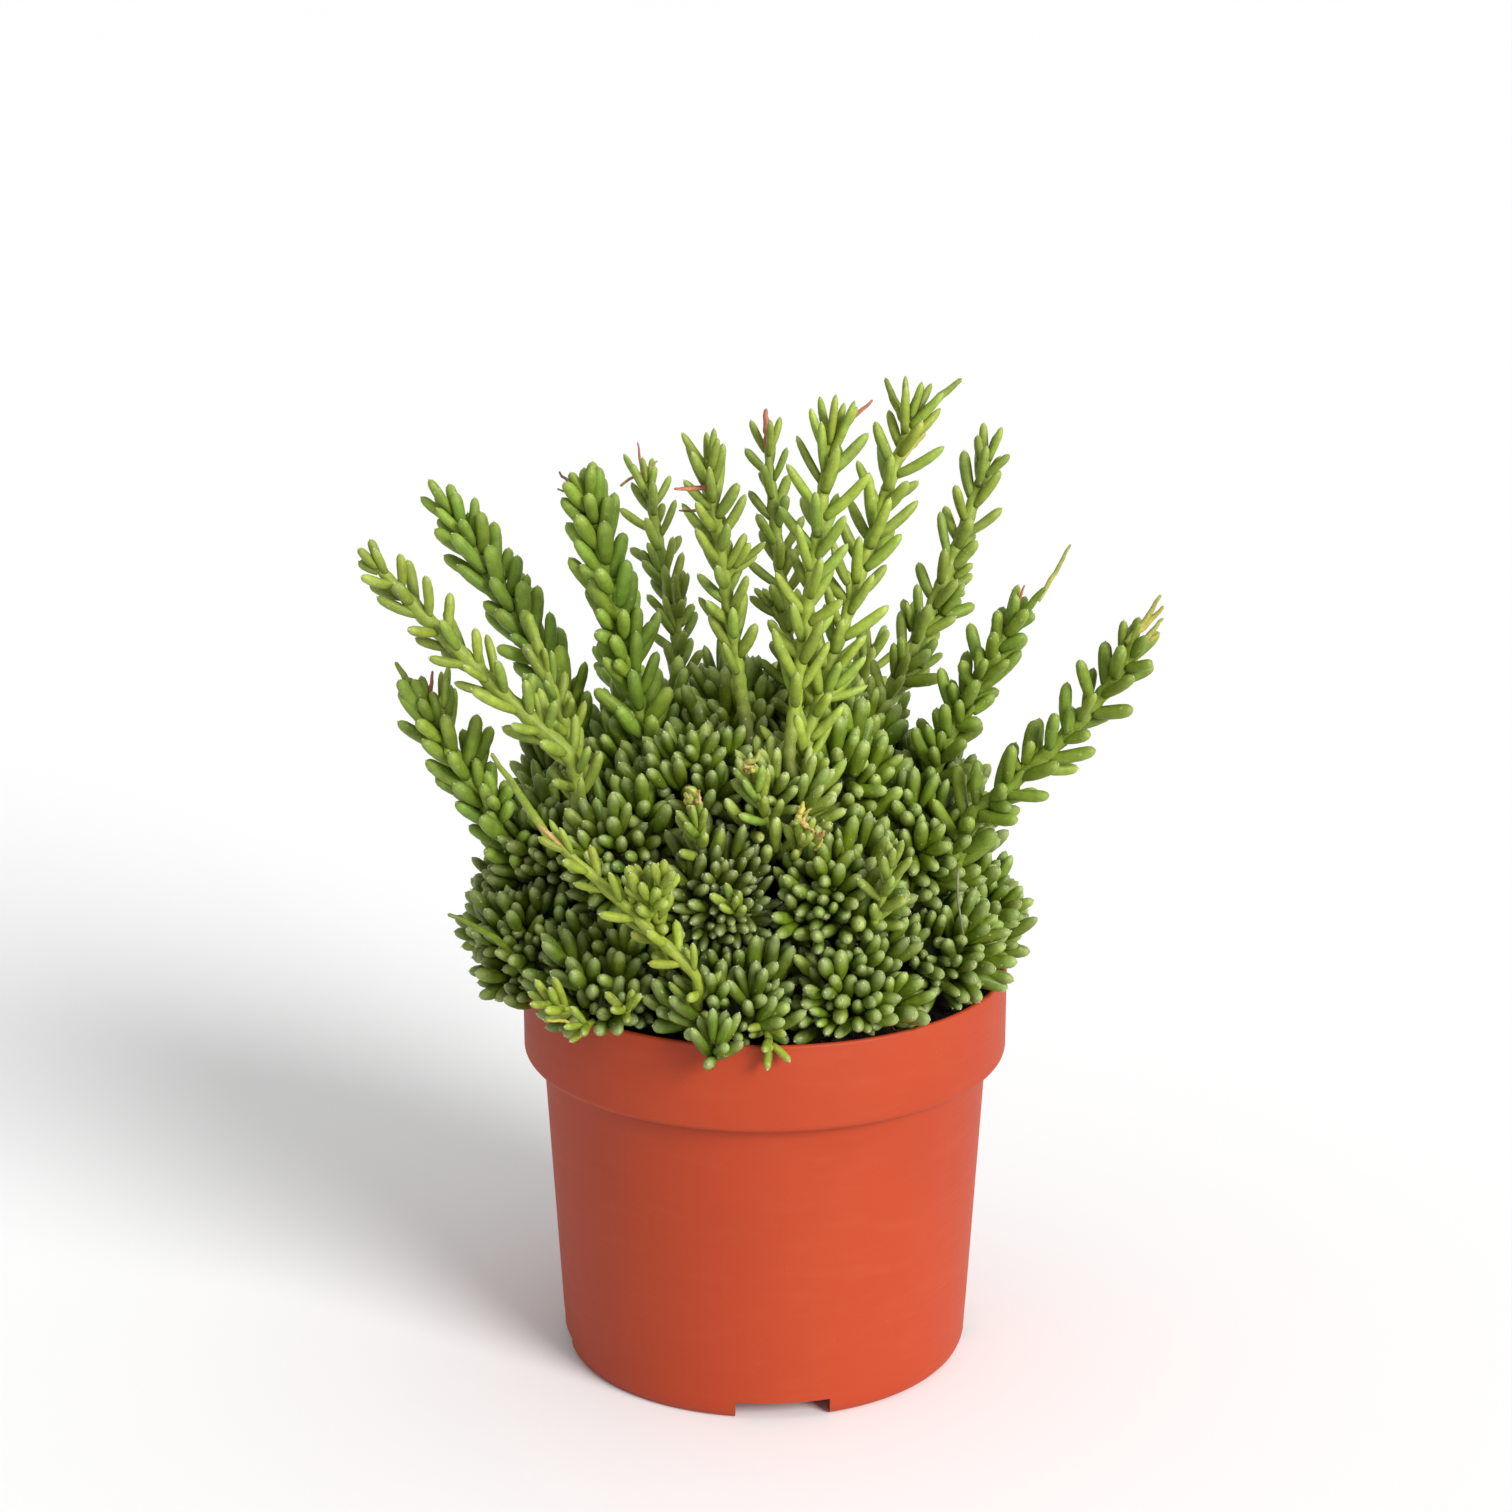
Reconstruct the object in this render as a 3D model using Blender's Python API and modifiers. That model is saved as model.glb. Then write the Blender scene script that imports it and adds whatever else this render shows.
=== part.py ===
"""A potted rhipsalis.

A low cushion of short plump stem segments grows from the soil of a plain plastic nursery pot, with a fan
of taller leafy shoots standing out of it. Metres, +Z up. The pot stands on z = 0 about the Z axis, and
the plant is seen from the front along +Y.
"""

import math
from dataclasses import dataclass

import bmesh
import bpy
import numpy as np
from mathutils import Matrix, Vector

MM = 0.001
GAP = 0.3 * MM  # between pieces that touch on the real plant
WELD = 0.01 * MM
FRONT = Vector((0.0, -1.0, 0.0))
SHARP_ANGLE = math.radians(40)

# Pot
TURN_STEPS = 40
POT_HEIGHT = 100 * MM
RIM_RADIUS = 60 * MM
RIM_LIP = 0.7 * MM
COLLAR_DEPTH = 22 * MM
COLLAR_EDGE = 2 * MM
COLLAR_EDGE_TURNS = (0, 40, 80)  # degrees round the collar's lower edge
LEDGE_DROP = 1.2 * MM  # how far the underside of the collar slopes down to the body
BODY_TOP_RADIUS = 55.2 * MM
BODY_BASE_RADIUS = 51.0 * MM
WALL = 1.4 * MM
LEDGE_WALL = 1.6 * MM
LEDGE_RISE = 1.7 * MM  # how far the inner wall slopes up from the body to the collar
FOOT_RADIUS = 49.2 * MM
FOOT_WIDTH = 1.8 * MM
FOOT_EDGE = 3 * MM
FOOT_CURVE = (1.1 * MM, 0.8 * MM)  # the middle of the foot's rounded edge, out and up from the foot
FOOT_BAND = 6 * MM  # the height of the ring of wall that the notches are cut in
PLATE_UNDERSIDE = 5 * MM
PLATE_THICKNESS = 1.2 * MM
NOTCH_WIDTH = 23 * MM
NOTCH_HEIGHT = 4.5 * MM
NOTCH_DEPTH = 12 * MM
NOTCH_TURN = math.radians(5)
NOTCHES = 4
DRAIN_HOLES = 4
DRAIN_SIDES = 8
DRAIN_RADIUS = 4 * MM
DRAIN_CIRCLE = 30 * MM
DRAIN_CUT = 8 * MM

# Soil
SOIL_STEPS = 20
SOIL_EDGE = 95.2 * MM
SOIL_CROWN = 97.2 * MM
SOIL_SHOULDER = (0.6 * RIM_RADIUS, SOIL_CROWN - 0.5 * MM)
HOLE_DEPTH = 9 * MM
HOLE_SIDES = 5

# Cushion: the dome that its heads fill, and the core and segments of each head
DOME_CENTRE = Vector((-5, 1, 108)) * MM
DOME_AXES = Vector((72, 67, 69)) * MM
CORE_SHARE = 0.52
ROOT_SHARE = 0.75
CORE_FACES_SUBDIVISIONS = 1
HEAD_SEGMENTS_PER_SPHERE = 36
HEAD_SEGMENT_WIDTH = 8.6 * MM
HEAD_CONE = math.radians(98)
HEAD_LENGTHS = (1.0, 0.86, 0.72)
STALK_RADIUS = 1.7 * MM
LOW_HEAD_ELEVATION = 15  # degrees: the heads below it root farther out under the rim
LOW_HEAD_ROOT = 0.84  # how far out a head's stalk is rooted, as a share of its core's own distance
HIGH_HEAD_ROOT = 0.62

# Stems under the cushion: their holes stand apart, and they bend clear of each other
HOLE_SPACING = 6.4 * MM
HOLE_FARTHEST = 49 * MM
SPREAD_PASSES = 200
BEND_PASSES = 160
BEND_MARGIN = 1.2 * MM
STEM_PUSH = 0.15
CORE_PUSH = 0.6
STEM_STIFFNESS = 0.25
STEM_TOLERANCE = 0.5 * MM

# Where a segment is widest along its length, its radius there and at its ends as shares of its width,
# how narrow its root is, and how the spiral turns from one segment to the next
BELLY_AT = 0.66
GIRTHS = ((0.3, 0.4), (0.45, 0.45), (0.56, 0.5), (BELLY_AT, 0.5), (0.8, 0.38), (0.9, 0.25), (1.0, 0.08))
HEAD_BELLY_AT = 0.8
HEAD_GIRTHS = ((0.3, 0.36), (0.5, 0.42), (0.66, 0.46), (HEAD_BELLY_AT, 0.5), (0.9, 0.3), (1.0, 0.08))
ROOT_WIDTH = 0.42
GOLDEN_TURN = math.radians(137.5)
SEGMENT_SIDES = 4
SEGMENT_TIP_GIRTH = 0.05

# Young segments at a shoot's tip, against the grown ones below: their lean, length and spacing
YOUNG_REACH = 2.5
YOUNG_LEAN = 0.45
YOUNG_LENGTH = 0.72
YOUNG_SPACING = 0.55


@dataclass(frozen=True)
class Habit:
    """How a shoot carries its segments: lengths in metres, the lean from the stem in degrees."""

    length: float
    width: float
    spacing: float
    lean: float
    stem: float


PLUMP = Habit(10.5 * MM, 4.6 * MM, 3.9 * MM, 42, 1.6 * MM)
OPEN = Habit(9.6 * MM, 3.8 * MM, 4.7 * MM, 50, 1.5 * MM)
SLIM = Habit(11.0 * MM, 3.3 * MM, 4.8 * MM, 38, 1.4 * MM)
SPRIG = Habit(8.5 * MM, 3.3 * MM, 4.4 * MM, 52, 1.4 * MM)


@dataclass(frozen=True)
class Shoot:
    """A leafy stem, in millimetres: its spot on the soil, where it leaves the cushion, and its tip."""

    name: str
    root: tuple
    neck: tuple
    tip: tuple
    habit: Habit
    bare: float = 0.0


@dataclass(frozen=True)
class Head:
    """A dense head of the cushion: degrees round from the front and up the dome, and its reach in mm."""

    name: str
    azimuth: float
    elevation: float
    reach: float


SHOOTS = (
    Shoot("shoot_left_low", (-34, -9), (-62, -15, 136), (-84, -20, 178), PLUMP),
    Shoot("shoot_left_outer", (-29, -24), (-45, -30, 161), (-92, -35, 211), OPEN),
    Shoot("shoot_left_plump", (-27, 3), (-49, 0, 169), (-79, 15, 215), PLUMP),
    Shoot("shoot_left_bare", (-23, -14), (-50, -18, 176), (-58, -18, 196), OPEN, 14),
    Shoot("shoot_left_inner", (-17, -8), (-31, -10, 172), (-43, -15, 227), PLUMP),
    Shoot("shoot_back_left", (-12, 14), (-21, 25, 170), (-31, 58, 214), SLIM),
    Shoot("shoot_middle_left", (-3, -13), (-4, -25, 164), (-14, -40, 239), SLIM, 10),
    Shoot("shoot_middle_right", (4, 1), (7, -8, 168), (0, 10, 233), SLIM),
    Shoot("shoot_tall_bare", (6, -20), (5, -35, 160), (16, -20, 243), SLIM, 20),
    Shoot("shoot_tallest", (12, -11), (9, -29, 163), (37, 0, 245.5), SLIM),
    Shoot("shoot_right_back", (14, 10), (24, 15, 153), (58, 40, 224), OPEN),
    Shoot("shoot_right_short", (23, -4), (41, -10, 152), (62, -10, 194), OPEN),
    Shoot("shoot_right_outer", (28, -14), (48, -25, 145), (90, -30, 197), OPEN),
    Shoot("shoot_rear_left", (-16, 32), (-28, 50, 140), (-42, 69, 162), PLUMP),
    Shoot("shoot_rear_right", (12, 36), (20, 50, 142), (30, 68, 168), OPEN),
    Shoot("sprig_front", (-12, -45), (-14, -66, 119), (-48, -64, 153), SPRIG),
    Shoot("sprig_rosette", (-22, -40), (-25, -60, 131), (-28, -67, 140), SPRIG),
    Shoot("sprig_rim", (2, -46), (0, -57, 105), (3, -65, 97), SPRIG),
)

HEADS = (
    Head("head_low_01", -4, 0, 20),
    Head("head_low_02", 27, 1, 19),
    Head("head_low_03", 58, 0, 20),
    Head("head_low_04", 92, 2, 20),
    Head("head_low_05", 126, 0, 20),
    Head("head_low_06", 160, 2, 20),
    Head("head_low_07", 194, 0, 20),
    Head("head_low_08", 228, 2, 20),
    Head("head_low_09", 261, 4, 21),
    Head("head_low_10", -68, 4, 21),
    Head("head_low_11", -36, 1, 20),
    Head("head_mid_01", -8, 28, 18),
    Head("head_mid_02", 25, 26, 19),
    Head("head_mid_03", 62, 32, 20),
    Head("head_mid_04", 99, 34, 22),
    Head("head_mid_05", 134, 33, 22),
    Head("head_mid_06", 170, 34, 22),
    Head("head_mid_07", 206, 33, 22),
    Head("head_mid_08", 243, 34, 22),
    Head("head_mid_09", -72, 30, 20),
    Head("head_mid_10", -39, 36, 19),
    Head("head_high_01", -20, 58, 21),
    Head("head_high_02", 10, 50, 17),
    Head("head_high_03", 46, 56, 20),
    Head("head_high_04", 118, 62, 22),
    Head("head_high_05", 190, 62, 22),
    Head("head_high_06", -95, 62, 22),
    Head("head_crown", 0, 86, 19),
)

COLOURS = {
    "pot_plastic": ((0.60, 0.085, 0.030), 0.42),
    "potting_mix": ((0.022, 0.015, 0.010), 0.95),
    "cushion_green": ((0.105, 0.200, 0.030), 0.48),
    "shoot_green": ((0.170, 0.320, 0.035), 0.45),
    "sprig_green": ((0.270, 0.430, 0.060), 0.45),
}


def make_materials():
    """One material per colour of the plant and its pot."""
    made = {}
    for name, (colour, roughness) in COLOURS.items():
        material = bpy.data.materials.new(name)
        material.use_nodes = True
        shader = material.node_tree.nodes["Principled BSDF"]
        shader.inputs["Base Color"].default_value = (*colour, 1.0)
        shader.inputs["Roughness"].default_value = roughness
        shader.inputs["Metallic"].default_value = 0.0
        made[name] = material
    return made


def new_object(name, mesh, collection, material=None):
    """An object for a mesh, in the given collection."""
    made = bpy.data.objects.new(name, mesh)
    collection.objects.link(made)
    if material:
        mesh.materials.clear()
        mesh.materials.append(material)
    return made


def new_collection(name):
    """A collection of the scene."""
    made = bpy.data.collections.new(name)
    bpy.context.scene.collection.children.link(made)
    return made


def evaluated_mesh(source):
    """The finished mesh of an object."""
    bpy.context.view_layer.update()
    graph = bpy.context.evaluated_depsgraph_get()
    return bpy.data.meshes.new_from_object(source.evaluated_get(graph))


def smooth(mesh):
    """Shades the rounded faces smooth and keeps the sharp edges."""
    mesh.shade_smooth()
    mesh.set_sharp_from_angle(angle=SHARP_ANGLE)


def turned(name, profile, steps, collection, material):
    """A solid of revolution: the profile, as (radius, height), runs down the outer side."""
    mesh = bpy.data.meshes.new(name)
    points = [(radius, 0.0, height) for radius, height in profile]
    mesh.from_pydata(points, [(i, i + 1) for i in range(len(points) - 1)], [])
    made = new_object(name, mesh, collection, material)
    screw = made.modifiers.new("turn", "SCREW")
    screw.steps = steps
    screw.render_steps = steps
    screw.use_merge_vertices = True
    screw.merge_threshold = WELD
    screw.use_smooth_shade = True
    return made


def cut(body, cutters):
    """Takes every object of the cutters' collection out of the body."""
    difference = body.modifiers.new("openings", "BOOLEAN")
    difference.operation = "DIFFERENCE"
    difference.operand_type = "COLLECTION"
    difference.collection = cutters


def cylinder_cutter(name, centre, radius, height, sides, cutters):
    """An upright round cutter about its centre."""
    mesh = bpy.data.meshes.new(name)
    shape = bmesh.new()
    bmesh.ops.create_cone(
        shape, cap_ends=True, segments=sides, radius1=radius, radius2=radius, depth=height
    )
    shape.to_mesh(mesh)
    shape.free()
    made = new_object(name, mesh, cutters)
    made.location = centre
    made.display_type = "WIRE"
    made.hide_render = True


def notch_cutter(name, turn, cutters):
    """A box across the foot ring, turned round the pot from its front."""
    mesh = bpy.data.meshes.new(name)
    shape = bmesh.new()
    bmesh.ops.create_cube(shape, size=1.0)
    bmesh.ops.scale(shape, vec=(NOTCH_WIDTH, NOTCH_DEPTH, 2 * NOTCH_HEIGHT), verts=shape.verts)
    shape.to_mesh(mesh)
    shape.free()
    made = new_object(name, mesh, cutters)
    made.location = Matrix.Rotation(turn, 4, "Z") @ (FRONT * FOOT_RADIUS)
    made.rotation_euler.z = turn
    made.display_type = "WIRE"
    made.hide_render = True


def collar_profile():
    """The outside of the collar, from the rim's lip round its lower edge to the top of the body."""
    foot = POT_HEIGHT - COLLAR_DEPTH
    points = [(RIM_RADIUS - RIM_LIP, POT_HEIGHT), (RIM_RADIUS, POT_HEIGHT - RIM_LIP)]
    for turn in COLLAR_EDGE_TURNS:
        angle = math.radians(turn)
        radius = RIM_RADIUS - COLLAR_EDGE * (1 - math.cos(angle))
        points.append((radius, foot + COLLAR_EDGE * (1 - math.sin(angle))))
    points.append((BODY_TOP_RADIUS, foot - LEDGE_DROP))
    return points


def pot_profile():
    """From the plate inside, up the inner wall, over the rim, down the outside and under the foot."""
    plate = PLATE_UNDERSIDE + PLATE_THICKNESS
    ledge = POT_HEIGHT - COLLAR_DEPTH
    inside = [
        (0.0, plate),
        (BODY_BASE_RADIUS - WALL, plate),
        (BODY_TOP_RADIUS - WALL, ledge),
        (RIM_RADIUS - LEDGE_WALL, ledge + LEDGE_RISE),
        (RIM_RADIUS - WALL, POT_HEIGHT - 0.5 * RIM_LIP),
    ]
    foot = [
        (BODY_BASE_RADIUS + 0.2 * MM, FOOT_BAND),
        (BODY_BASE_RADIUS, FOOT_EDGE),
        (FOOT_RADIUS + FOOT_CURVE[0], FOOT_CURVE[1]),
        (FOOT_RADIUS, 0.0),
        (FOOT_RADIUS - FOOT_WIDTH, 0.0),
        (FOOT_RADIUS - FOOT_WIDTH, PLATE_UNDERSIDE),
        (0.0, PLATE_UNDERSIDE),
    ]
    return inside + collar_profile() + foot


def build_pot(parts, material):
    """The pot: turned, with drain holes in its plate and notches in its foot."""
    pot = turned("pot", pot_profile(), TURN_STEPS, parts, material)
    cutters = new_collection("pot cutters")
    for number in range(NOTCHES):
        notch_cutter(f"notch_{number + 1}", NOTCH_TURN + number * math.tau / NOTCHES, cutters)
    for number in range(DRAIN_HOLES):
        turn = number * math.tau / DRAIN_HOLES
        centre = Matrix.Rotation(turn, 4, "Z") @ (FRONT * DRAIN_CIRCLE)
        centre.z = PLATE_UNDERSIDE
        cylinder_cutter(f"drain_{number + 1}", centre, DRAIN_RADIUS, DRAIN_CUT, DRAIN_SIDES, cutters)
    cut(pot, cutters)


def soil_profile():
    """The soil fills the pot, a fine gap clear of its wall, ledge and plate."""
    ledge = POT_HEIGHT - COLLAR_DEPTH
    return [
        (0.0, SOIL_CROWN),
        SOIL_SHOULDER,
        (RIM_RADIUS - WALL - GAP, SOIL_EDGE),
        (RIM_RADIUS - LEDGE_WALL - GAP, ledge + LEDGE_RISE + 0.5 * MM),
        (BODY_TOP_RADIUS - WALL - GAP, ledge + 0.5 * MM),
        (BODY_BASE_RADIUS - WALL - GAP, PLATE_UNDERSIDE + PLATE_THICKNESS + GAP),
        (0.0, PLATE_UNDERSIDE + PLATE_THICKNESS + GAP),
    ]


def build_soil(routes, parts, material):
    """The soil, with a plain hole for each stem."""
    soil = turned("soil", soil_profile(), SOIL_STEPS, parts, material)
    cutters = new_collection("soil cutters")
    height = 2 * HOLE_DEPTH
    for route in routes:
        radius = (route.radius + GAP) / math.cos(math.pi / HOLE_SIDES)
        centre = Vector((route.points[0][0], route.points[0][1], SOIL_EDGE - HOLE_DEPTH + height / 2))
        cylinder_cutter("hole_" + route.name, centre, radius, height, HOLE_SIDES, cutters)
    cut(soil, cutters)


class Route:
    """A stem's course from the bottom of its hole, up through the cushion."""

    STATIONS = 9
    FIXED = 2  # the stations in the soil
    STRAIGHT = 2 * MM  # how far a stem stands up out of the soil before it bends

    def __init__(self, name, root, neck, heading, radius):
        self.name = name
        self.radius = radius
        self.neck = neck
        self.heading = heading
        self.points = self.rise(np.array([root.x, root.y]))

    def rise(self, spot):
        """Straight out of the soil at the spot, then in one bend to the neck."""
        low = np.array([*spot, SOIL_EDGE - HOLE_DEPTH + GAP])
        start = np.array([*spot, SOIL_CROWN + self.STRAIGHT])
        end = np.array(self.neck)
        reach = np.linalg.norm(end - start) / 3
        lift = start + np.array([0, 0, reach])
        lead = end - np.array(self.heading) * reach
        steps = np.linspace(0, 1, self.STATIONS - 1)[:, None]
        bend = (
            (1 - steps) ** 3 * start
            + 3 * (1 - steps) ** 2 * steps * lift
            + 3 * (1 - steps) * steps**2 * lead
            + steps**3 * end
        )
        return np.vstack([low, bend])


def spread_roots(routes):
    """Moves the spots on the soil apart until each stem has its own hole with soil round it."""
    spots = np.array([route.points[0][:2] for route in routes])
    for _ in range(SPREAD_PASSES):
        apart = spots[:, None] - spots[None]
        distance = np.linalg.norm(apart, axis=2) + np.eye(len(spots))
        push = np.clip(HOLE_SPACING - distance, 0, None) / distance
        np.fill_diagonal(push, 0)
        spots = spots + 0.5 * (apart * push[..., None]).sum(axis=1)
        out = np.linalg.norm(spots, axis=1)
        spots = spots * np.minimum(1, HOLE_FARTHEST / out)[:, None]
    for route, spot in zip(routes, spots):
        route.points = route.rise(spot)


def bend_clear(routes, cores):
    """Bends the stems, between soil and neck, clear of each other and of the other heads' cores."""
    points = np.array([route.points for route in routes])
    count, stations = points.shape[:2]
    owner = np.repeat(np.arange(count), stations)
    radii = np.repeat([route.radius for route in routes], stations)
    wanted = 1.25 * (radii[:, None] + radii[None] + BEND_MARGIN)
    wanted[owner[:, None] == owner[None]] = 0
    names = np.array([route.name for route in routes])[owner]
    centres = np.array([centre for _, centre, _ in cores])
    kept_out = np.array([radius for _, _, radius in cores])[None] + radii[:, None] + BEND_MARGIN
    kept_out[names[:, None] == np.array([name for name, _, _ in cores])[None]] = 0
    free = np.zeros((stations, 1))
    free[Route.FIXED : -1] = 1.0
    for _ in range(BEND_PASSES):
        flat = points.reshape(-1, 3)
        move = STEM_PUSH * push(flat, flat, wanted) + CORE_PUSH * push(flat, centres, kept_out)
        points = points + move.reshape(points.shape) * free
        evened = 0.5 * (points[:, :-2] + points[:, 2:]) - points[:, 1:-1]
        points[:, 1:-1] += STEM_STIFFNESS * evened * free[1:-1]
    for route, course in zip(routes, points):
        route.points = course


def push(points, obstacles, wanted):
    """The sum of each point's moves away from the obstacles that it is too near."""
    apart = points[:, None] - obstacles[None]
    distance = np.linalg.norm(apart, axis=2)
    short = np.clip(wanted - distance, 0, None) / np.maximum(distance, WELD)
    return (apart * short[..., None]).sum(axis=1)


class Crowd:
    """Every capsule placed so far, so that each new piece can be kept clear of its neighbours."""

    def __init__(self):
        self.starts = np.zeros((0, 3))
        self.ends = np.zeros((0, 3))
        self.radii = np.zeros(0)
        self.owners = np.zeros(0, dtype=object)

    def add(self, owner, starts, ends, radii):
        """Notes an owner's capsules."""
        self.starts = np.vstack([self.starts, starts])
        self.ends = np.vstack([self.ends, ends])
        self.radii = np.append(self.radii, radii)
        self.owners = np.append(self.owners, [owner] * len(starts))

    def room(self, owner, point):
        """How far a point is from the nearest surface of any other owner's capsules."""
        others = self.owners != owner
        starts = self.starts[others]
        along = self.ends[others] - starts
        lengths = np.maximum((along**2).sum(axis=1), WELD**2)
        place = np.clip(((point - starts) * along).sum(axis=1) / lengths, 0, 1)
        gap = np.linalg.norm(starts + along * place[:, None] - point, axis=1) - self.radii[others]
        return gap.min() if len(gap) else 1.0

    def clear(self, owner, root, tip, width, girths):
        """Whether a segment of this width fits between root and tip."""
        for share, girth in girths:
            point = root + (tip - root) * share
            radius = girth * width
            if not clear_of_pot(point, radius) or self.room(owner, point) < radius + GAP:
                return False
        return True

    def add_segment(self, owner, root, tip, width):
        """Notes a segment as three capsules that follow its girth."""
        belly = root + (tip - root) * BELLY_AT
        quarter = root + (tip - root) * 0.35
        shoulder = root + (tip - root) * 0.8
        starts = [quarter, belly, shoulder]
        ends = [belly, shoulder, tip]
        self.add(owner, starts, ends, [0.5 * width, 0.45 * width, 0.32 * width])


def clear_of_pot(point, radius):
    """Above the rim, outside it, or inside it over the soil."""
    outward = math.hypot(point[0], point[1])
    if point[2] > POT_HEIGHT + radius + GAP:
        return True
    if outward > RIM_RADIUS + radius + GAP:
        return True
    return outward < RIM_RADIUS - WALL - radius - GAP and point[2] > SOIL_CROWN + radius + GAP


def room_to_rim(centre):
    """How large a ball fits round a centre above the rim."""
    outward = math.hypot(centre.x, centre.y) - (RIM_RADIUS - 0.5 * WALL)
    return math.hypot(outward, centre.z - POT_HEIGHT + 0.5 * WALL) - WALL - GAP


def segment_object(root, tip, width, turn, belly_at):
    """A segment: a four-sided cone that widens from its root, its far end poked to a point."""
    along = Vector(tip - root)
    length = along.length
    belly = belly_at * length
    shape = bmesh.new()
    bmesh.ops.create_cone(
        shape,
        cap_ends=True,
        segments=SEGMENT_SIDES,
        radius1=0.5 * width * ROOT_WIDTH,
        radius2=0.5 * width,
        depth=belly,
        matrix=Matrix.Translation((0, 0, 0.5 * belly)),
    )
    top = max(shape.faces, key=lambda face: face.calc_center_median().z)
    bmesh.ops.poke(shape, faces=[top], offset=length - belly)
    facing = along.to_track_quat("Z", "Y").to_matrix().to_4x4()
    placing = Matrix.Translation(Vector(root)) @ facing @ Matrix.Rotation(turn, 4, "Z")
    bmesh.ops.transform(shape, matrix=placing, verts=shape.verts)
    mesh = bpy.data.meshes.new("segment")
    shape.to_mesh(mesh)
    shape.free()
    return bpy.data.objects.new("segment", mesh)


def tube_object(name, points, radii, collection, material):
    """A four-sided stem along the points, tapering as the radii do."""
    curve = bpy.data.curves.new(name, "CURVE")
    curve.dimensions = "3D"
    curve.bevel_depth = 1.0
    curve.bevel_resolution = 0
    curve.use_fill_caps = True
    spline = curve.splines.new("POLY")
    spline.points.add(len(points) - 1)
    for place, point, radius in zip(spline.points, points, radii):
        place.co = (*point, 1.0)
        place.radius = radius
    wire = new_object(name + " line", curve, collection)
    mesh = evaluated_mesh(wire)
    bpy.data.objects.remove(wire)
    shape = bmesh.new()
    shape.from_mesh(mesh)
    bmesh.ops.remove_doubles(shape, verts=shape.verts, dist=WELD)
    bmesh.ops.recalc_face_normals(shape, faces=shape.faces)
    shape.to_mesh(mesh)
    shape.free()
    mesh.name = name
    return new_object(name, mesh, collection, material)


def fuse(body, pieces, material):
    """Joins the pieces to the body as one closed solid."""
    if not pieces:
        return
    pile = new_collection(body.name + " pieces")
    for piece in pieces:
        pile.objects.link(piece)
    union = body.modifiers.new("union", "BOOLEAN")
    union.operation = "UNION"
    union.operand_type = "COLLECTION"
    union.collection = pile
    union.solver = "MANIFOLD"
    mesh = evaluated_mesh(body)
    body.modifiers.clear()
    body.data = mesh
    mesh.name = body.name
    mesh.materials.clear()
    mesh.materials.append(material)
    for piece in pieces:
        bpy.data.objects.remove(piece)
    bpy.data.collections.remove(pile)


def thinned(points, tolerance):
    """The points that a course needs to stay within the tolerance of its true line."""
    if len(points) < 3:
        return list(points)
    chord = points[-1] - points[0]
    run = chord / np.linalg.norm(chord)
    offsets = [np.linalg.norm(np.cross(run, point - points[0])) for point in points]
    farthest = int(np.argmax(offsets))
    if offsets[farthest] < tolerance:
        return [points[0], points[-1]]
    return thinned(points[: farthest + 1], tolerance)[:-1] + thinned(points[farthest:], tolerance)


def side_of(direction, turn):
    """A unit vector square to the direction, turned round it."""
    across = direction.orthogonal().normalized()
    return Matrix.Rotation(turn, 3, direction) @ across


def shoot_segments(shoot, points):
    """The (root, tip, width) of each segment, spiralling down from the shoot's tip."""
    habit = shoot.habit
    course = [Vector(point) for point in points]
    lengths = [(b - a).length for a, b in zip(course, course[1:])]
    leafy = (course[-1] - Vector(shoot.neck) * MM).length - shoot.bare * MM
    placed = []
    number = 0
    down = 0.4 * habit.length
    while down < leafy:
        left = down
        index = len(lengths) - 1
        while left > lengths[index] and index > 0:
            left -= lengths[index]
            index -= 1
        direction = (course[index + 1] - course[index]).normalized()
        root = course[index + 1] - direction * left
        grown = min(1.0, down / (YOUNG_REACH * habit.length))
        lean = math.radians(habit.lean * (YOUNG_LEAN + (1 - YOUNG_LEAN) * grown))
        side = side_of(direction, number * GOLDEN_TURN)
        heading = direction * math.cos(lean) + side * math.sin(lean)
        length = habit.length * (YOUNG_LENGTH + (1 - YOUNG_LENGTH) * grown)
        placed.append((np.array(root), np.array(root + heading * length), habit.width))
        down += habit.spacing * (YOUNG_SPACING + (1 - YOUNG_SPACING) * grown)
        number += 1
    return placed


def head_centre(head):
    """The middle of a head's core, and the way that the head faces."""
    around = math.radians(head.azimuth)
    rise = math.radians(head.elevation)
    facing = Vector(
        (math.sin(around) * math.cos(rise), -math.cos(around) * math.cos(rise), math.sin(rise))
    )
    inset = head.reach * MM
    centre = DOME_CENTRE + Vector([(axis - inset) * part for axis, part in zip(DOME_AXES, facing)])
    return centre, facing


def head_directions(count):
    """Directions spread evenly over a sphere by the golden spiral."""
    for number in range(count):
        height = 1 - (2 * number + 1) / count
        around = number * GOLDEN_TURN
        flat = math.sqrt(1 - height * height)
        yield Vector((flat * math.cos(around), flat * math.sin(around), height))


def in_own_cell(name, centre, point, girth, centres):
    """Whether the point is on its own head's side of the plane halfway to every other head."""
    for other, middle in centres.items():
        if other == name:
            continue
        apart = middle - centre
        halfway = centre + 0.5 * apart
        if (point - halfway).dot(apart.normalized()) > -girth - 0.5 * GAP:
            return False
    return True


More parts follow.
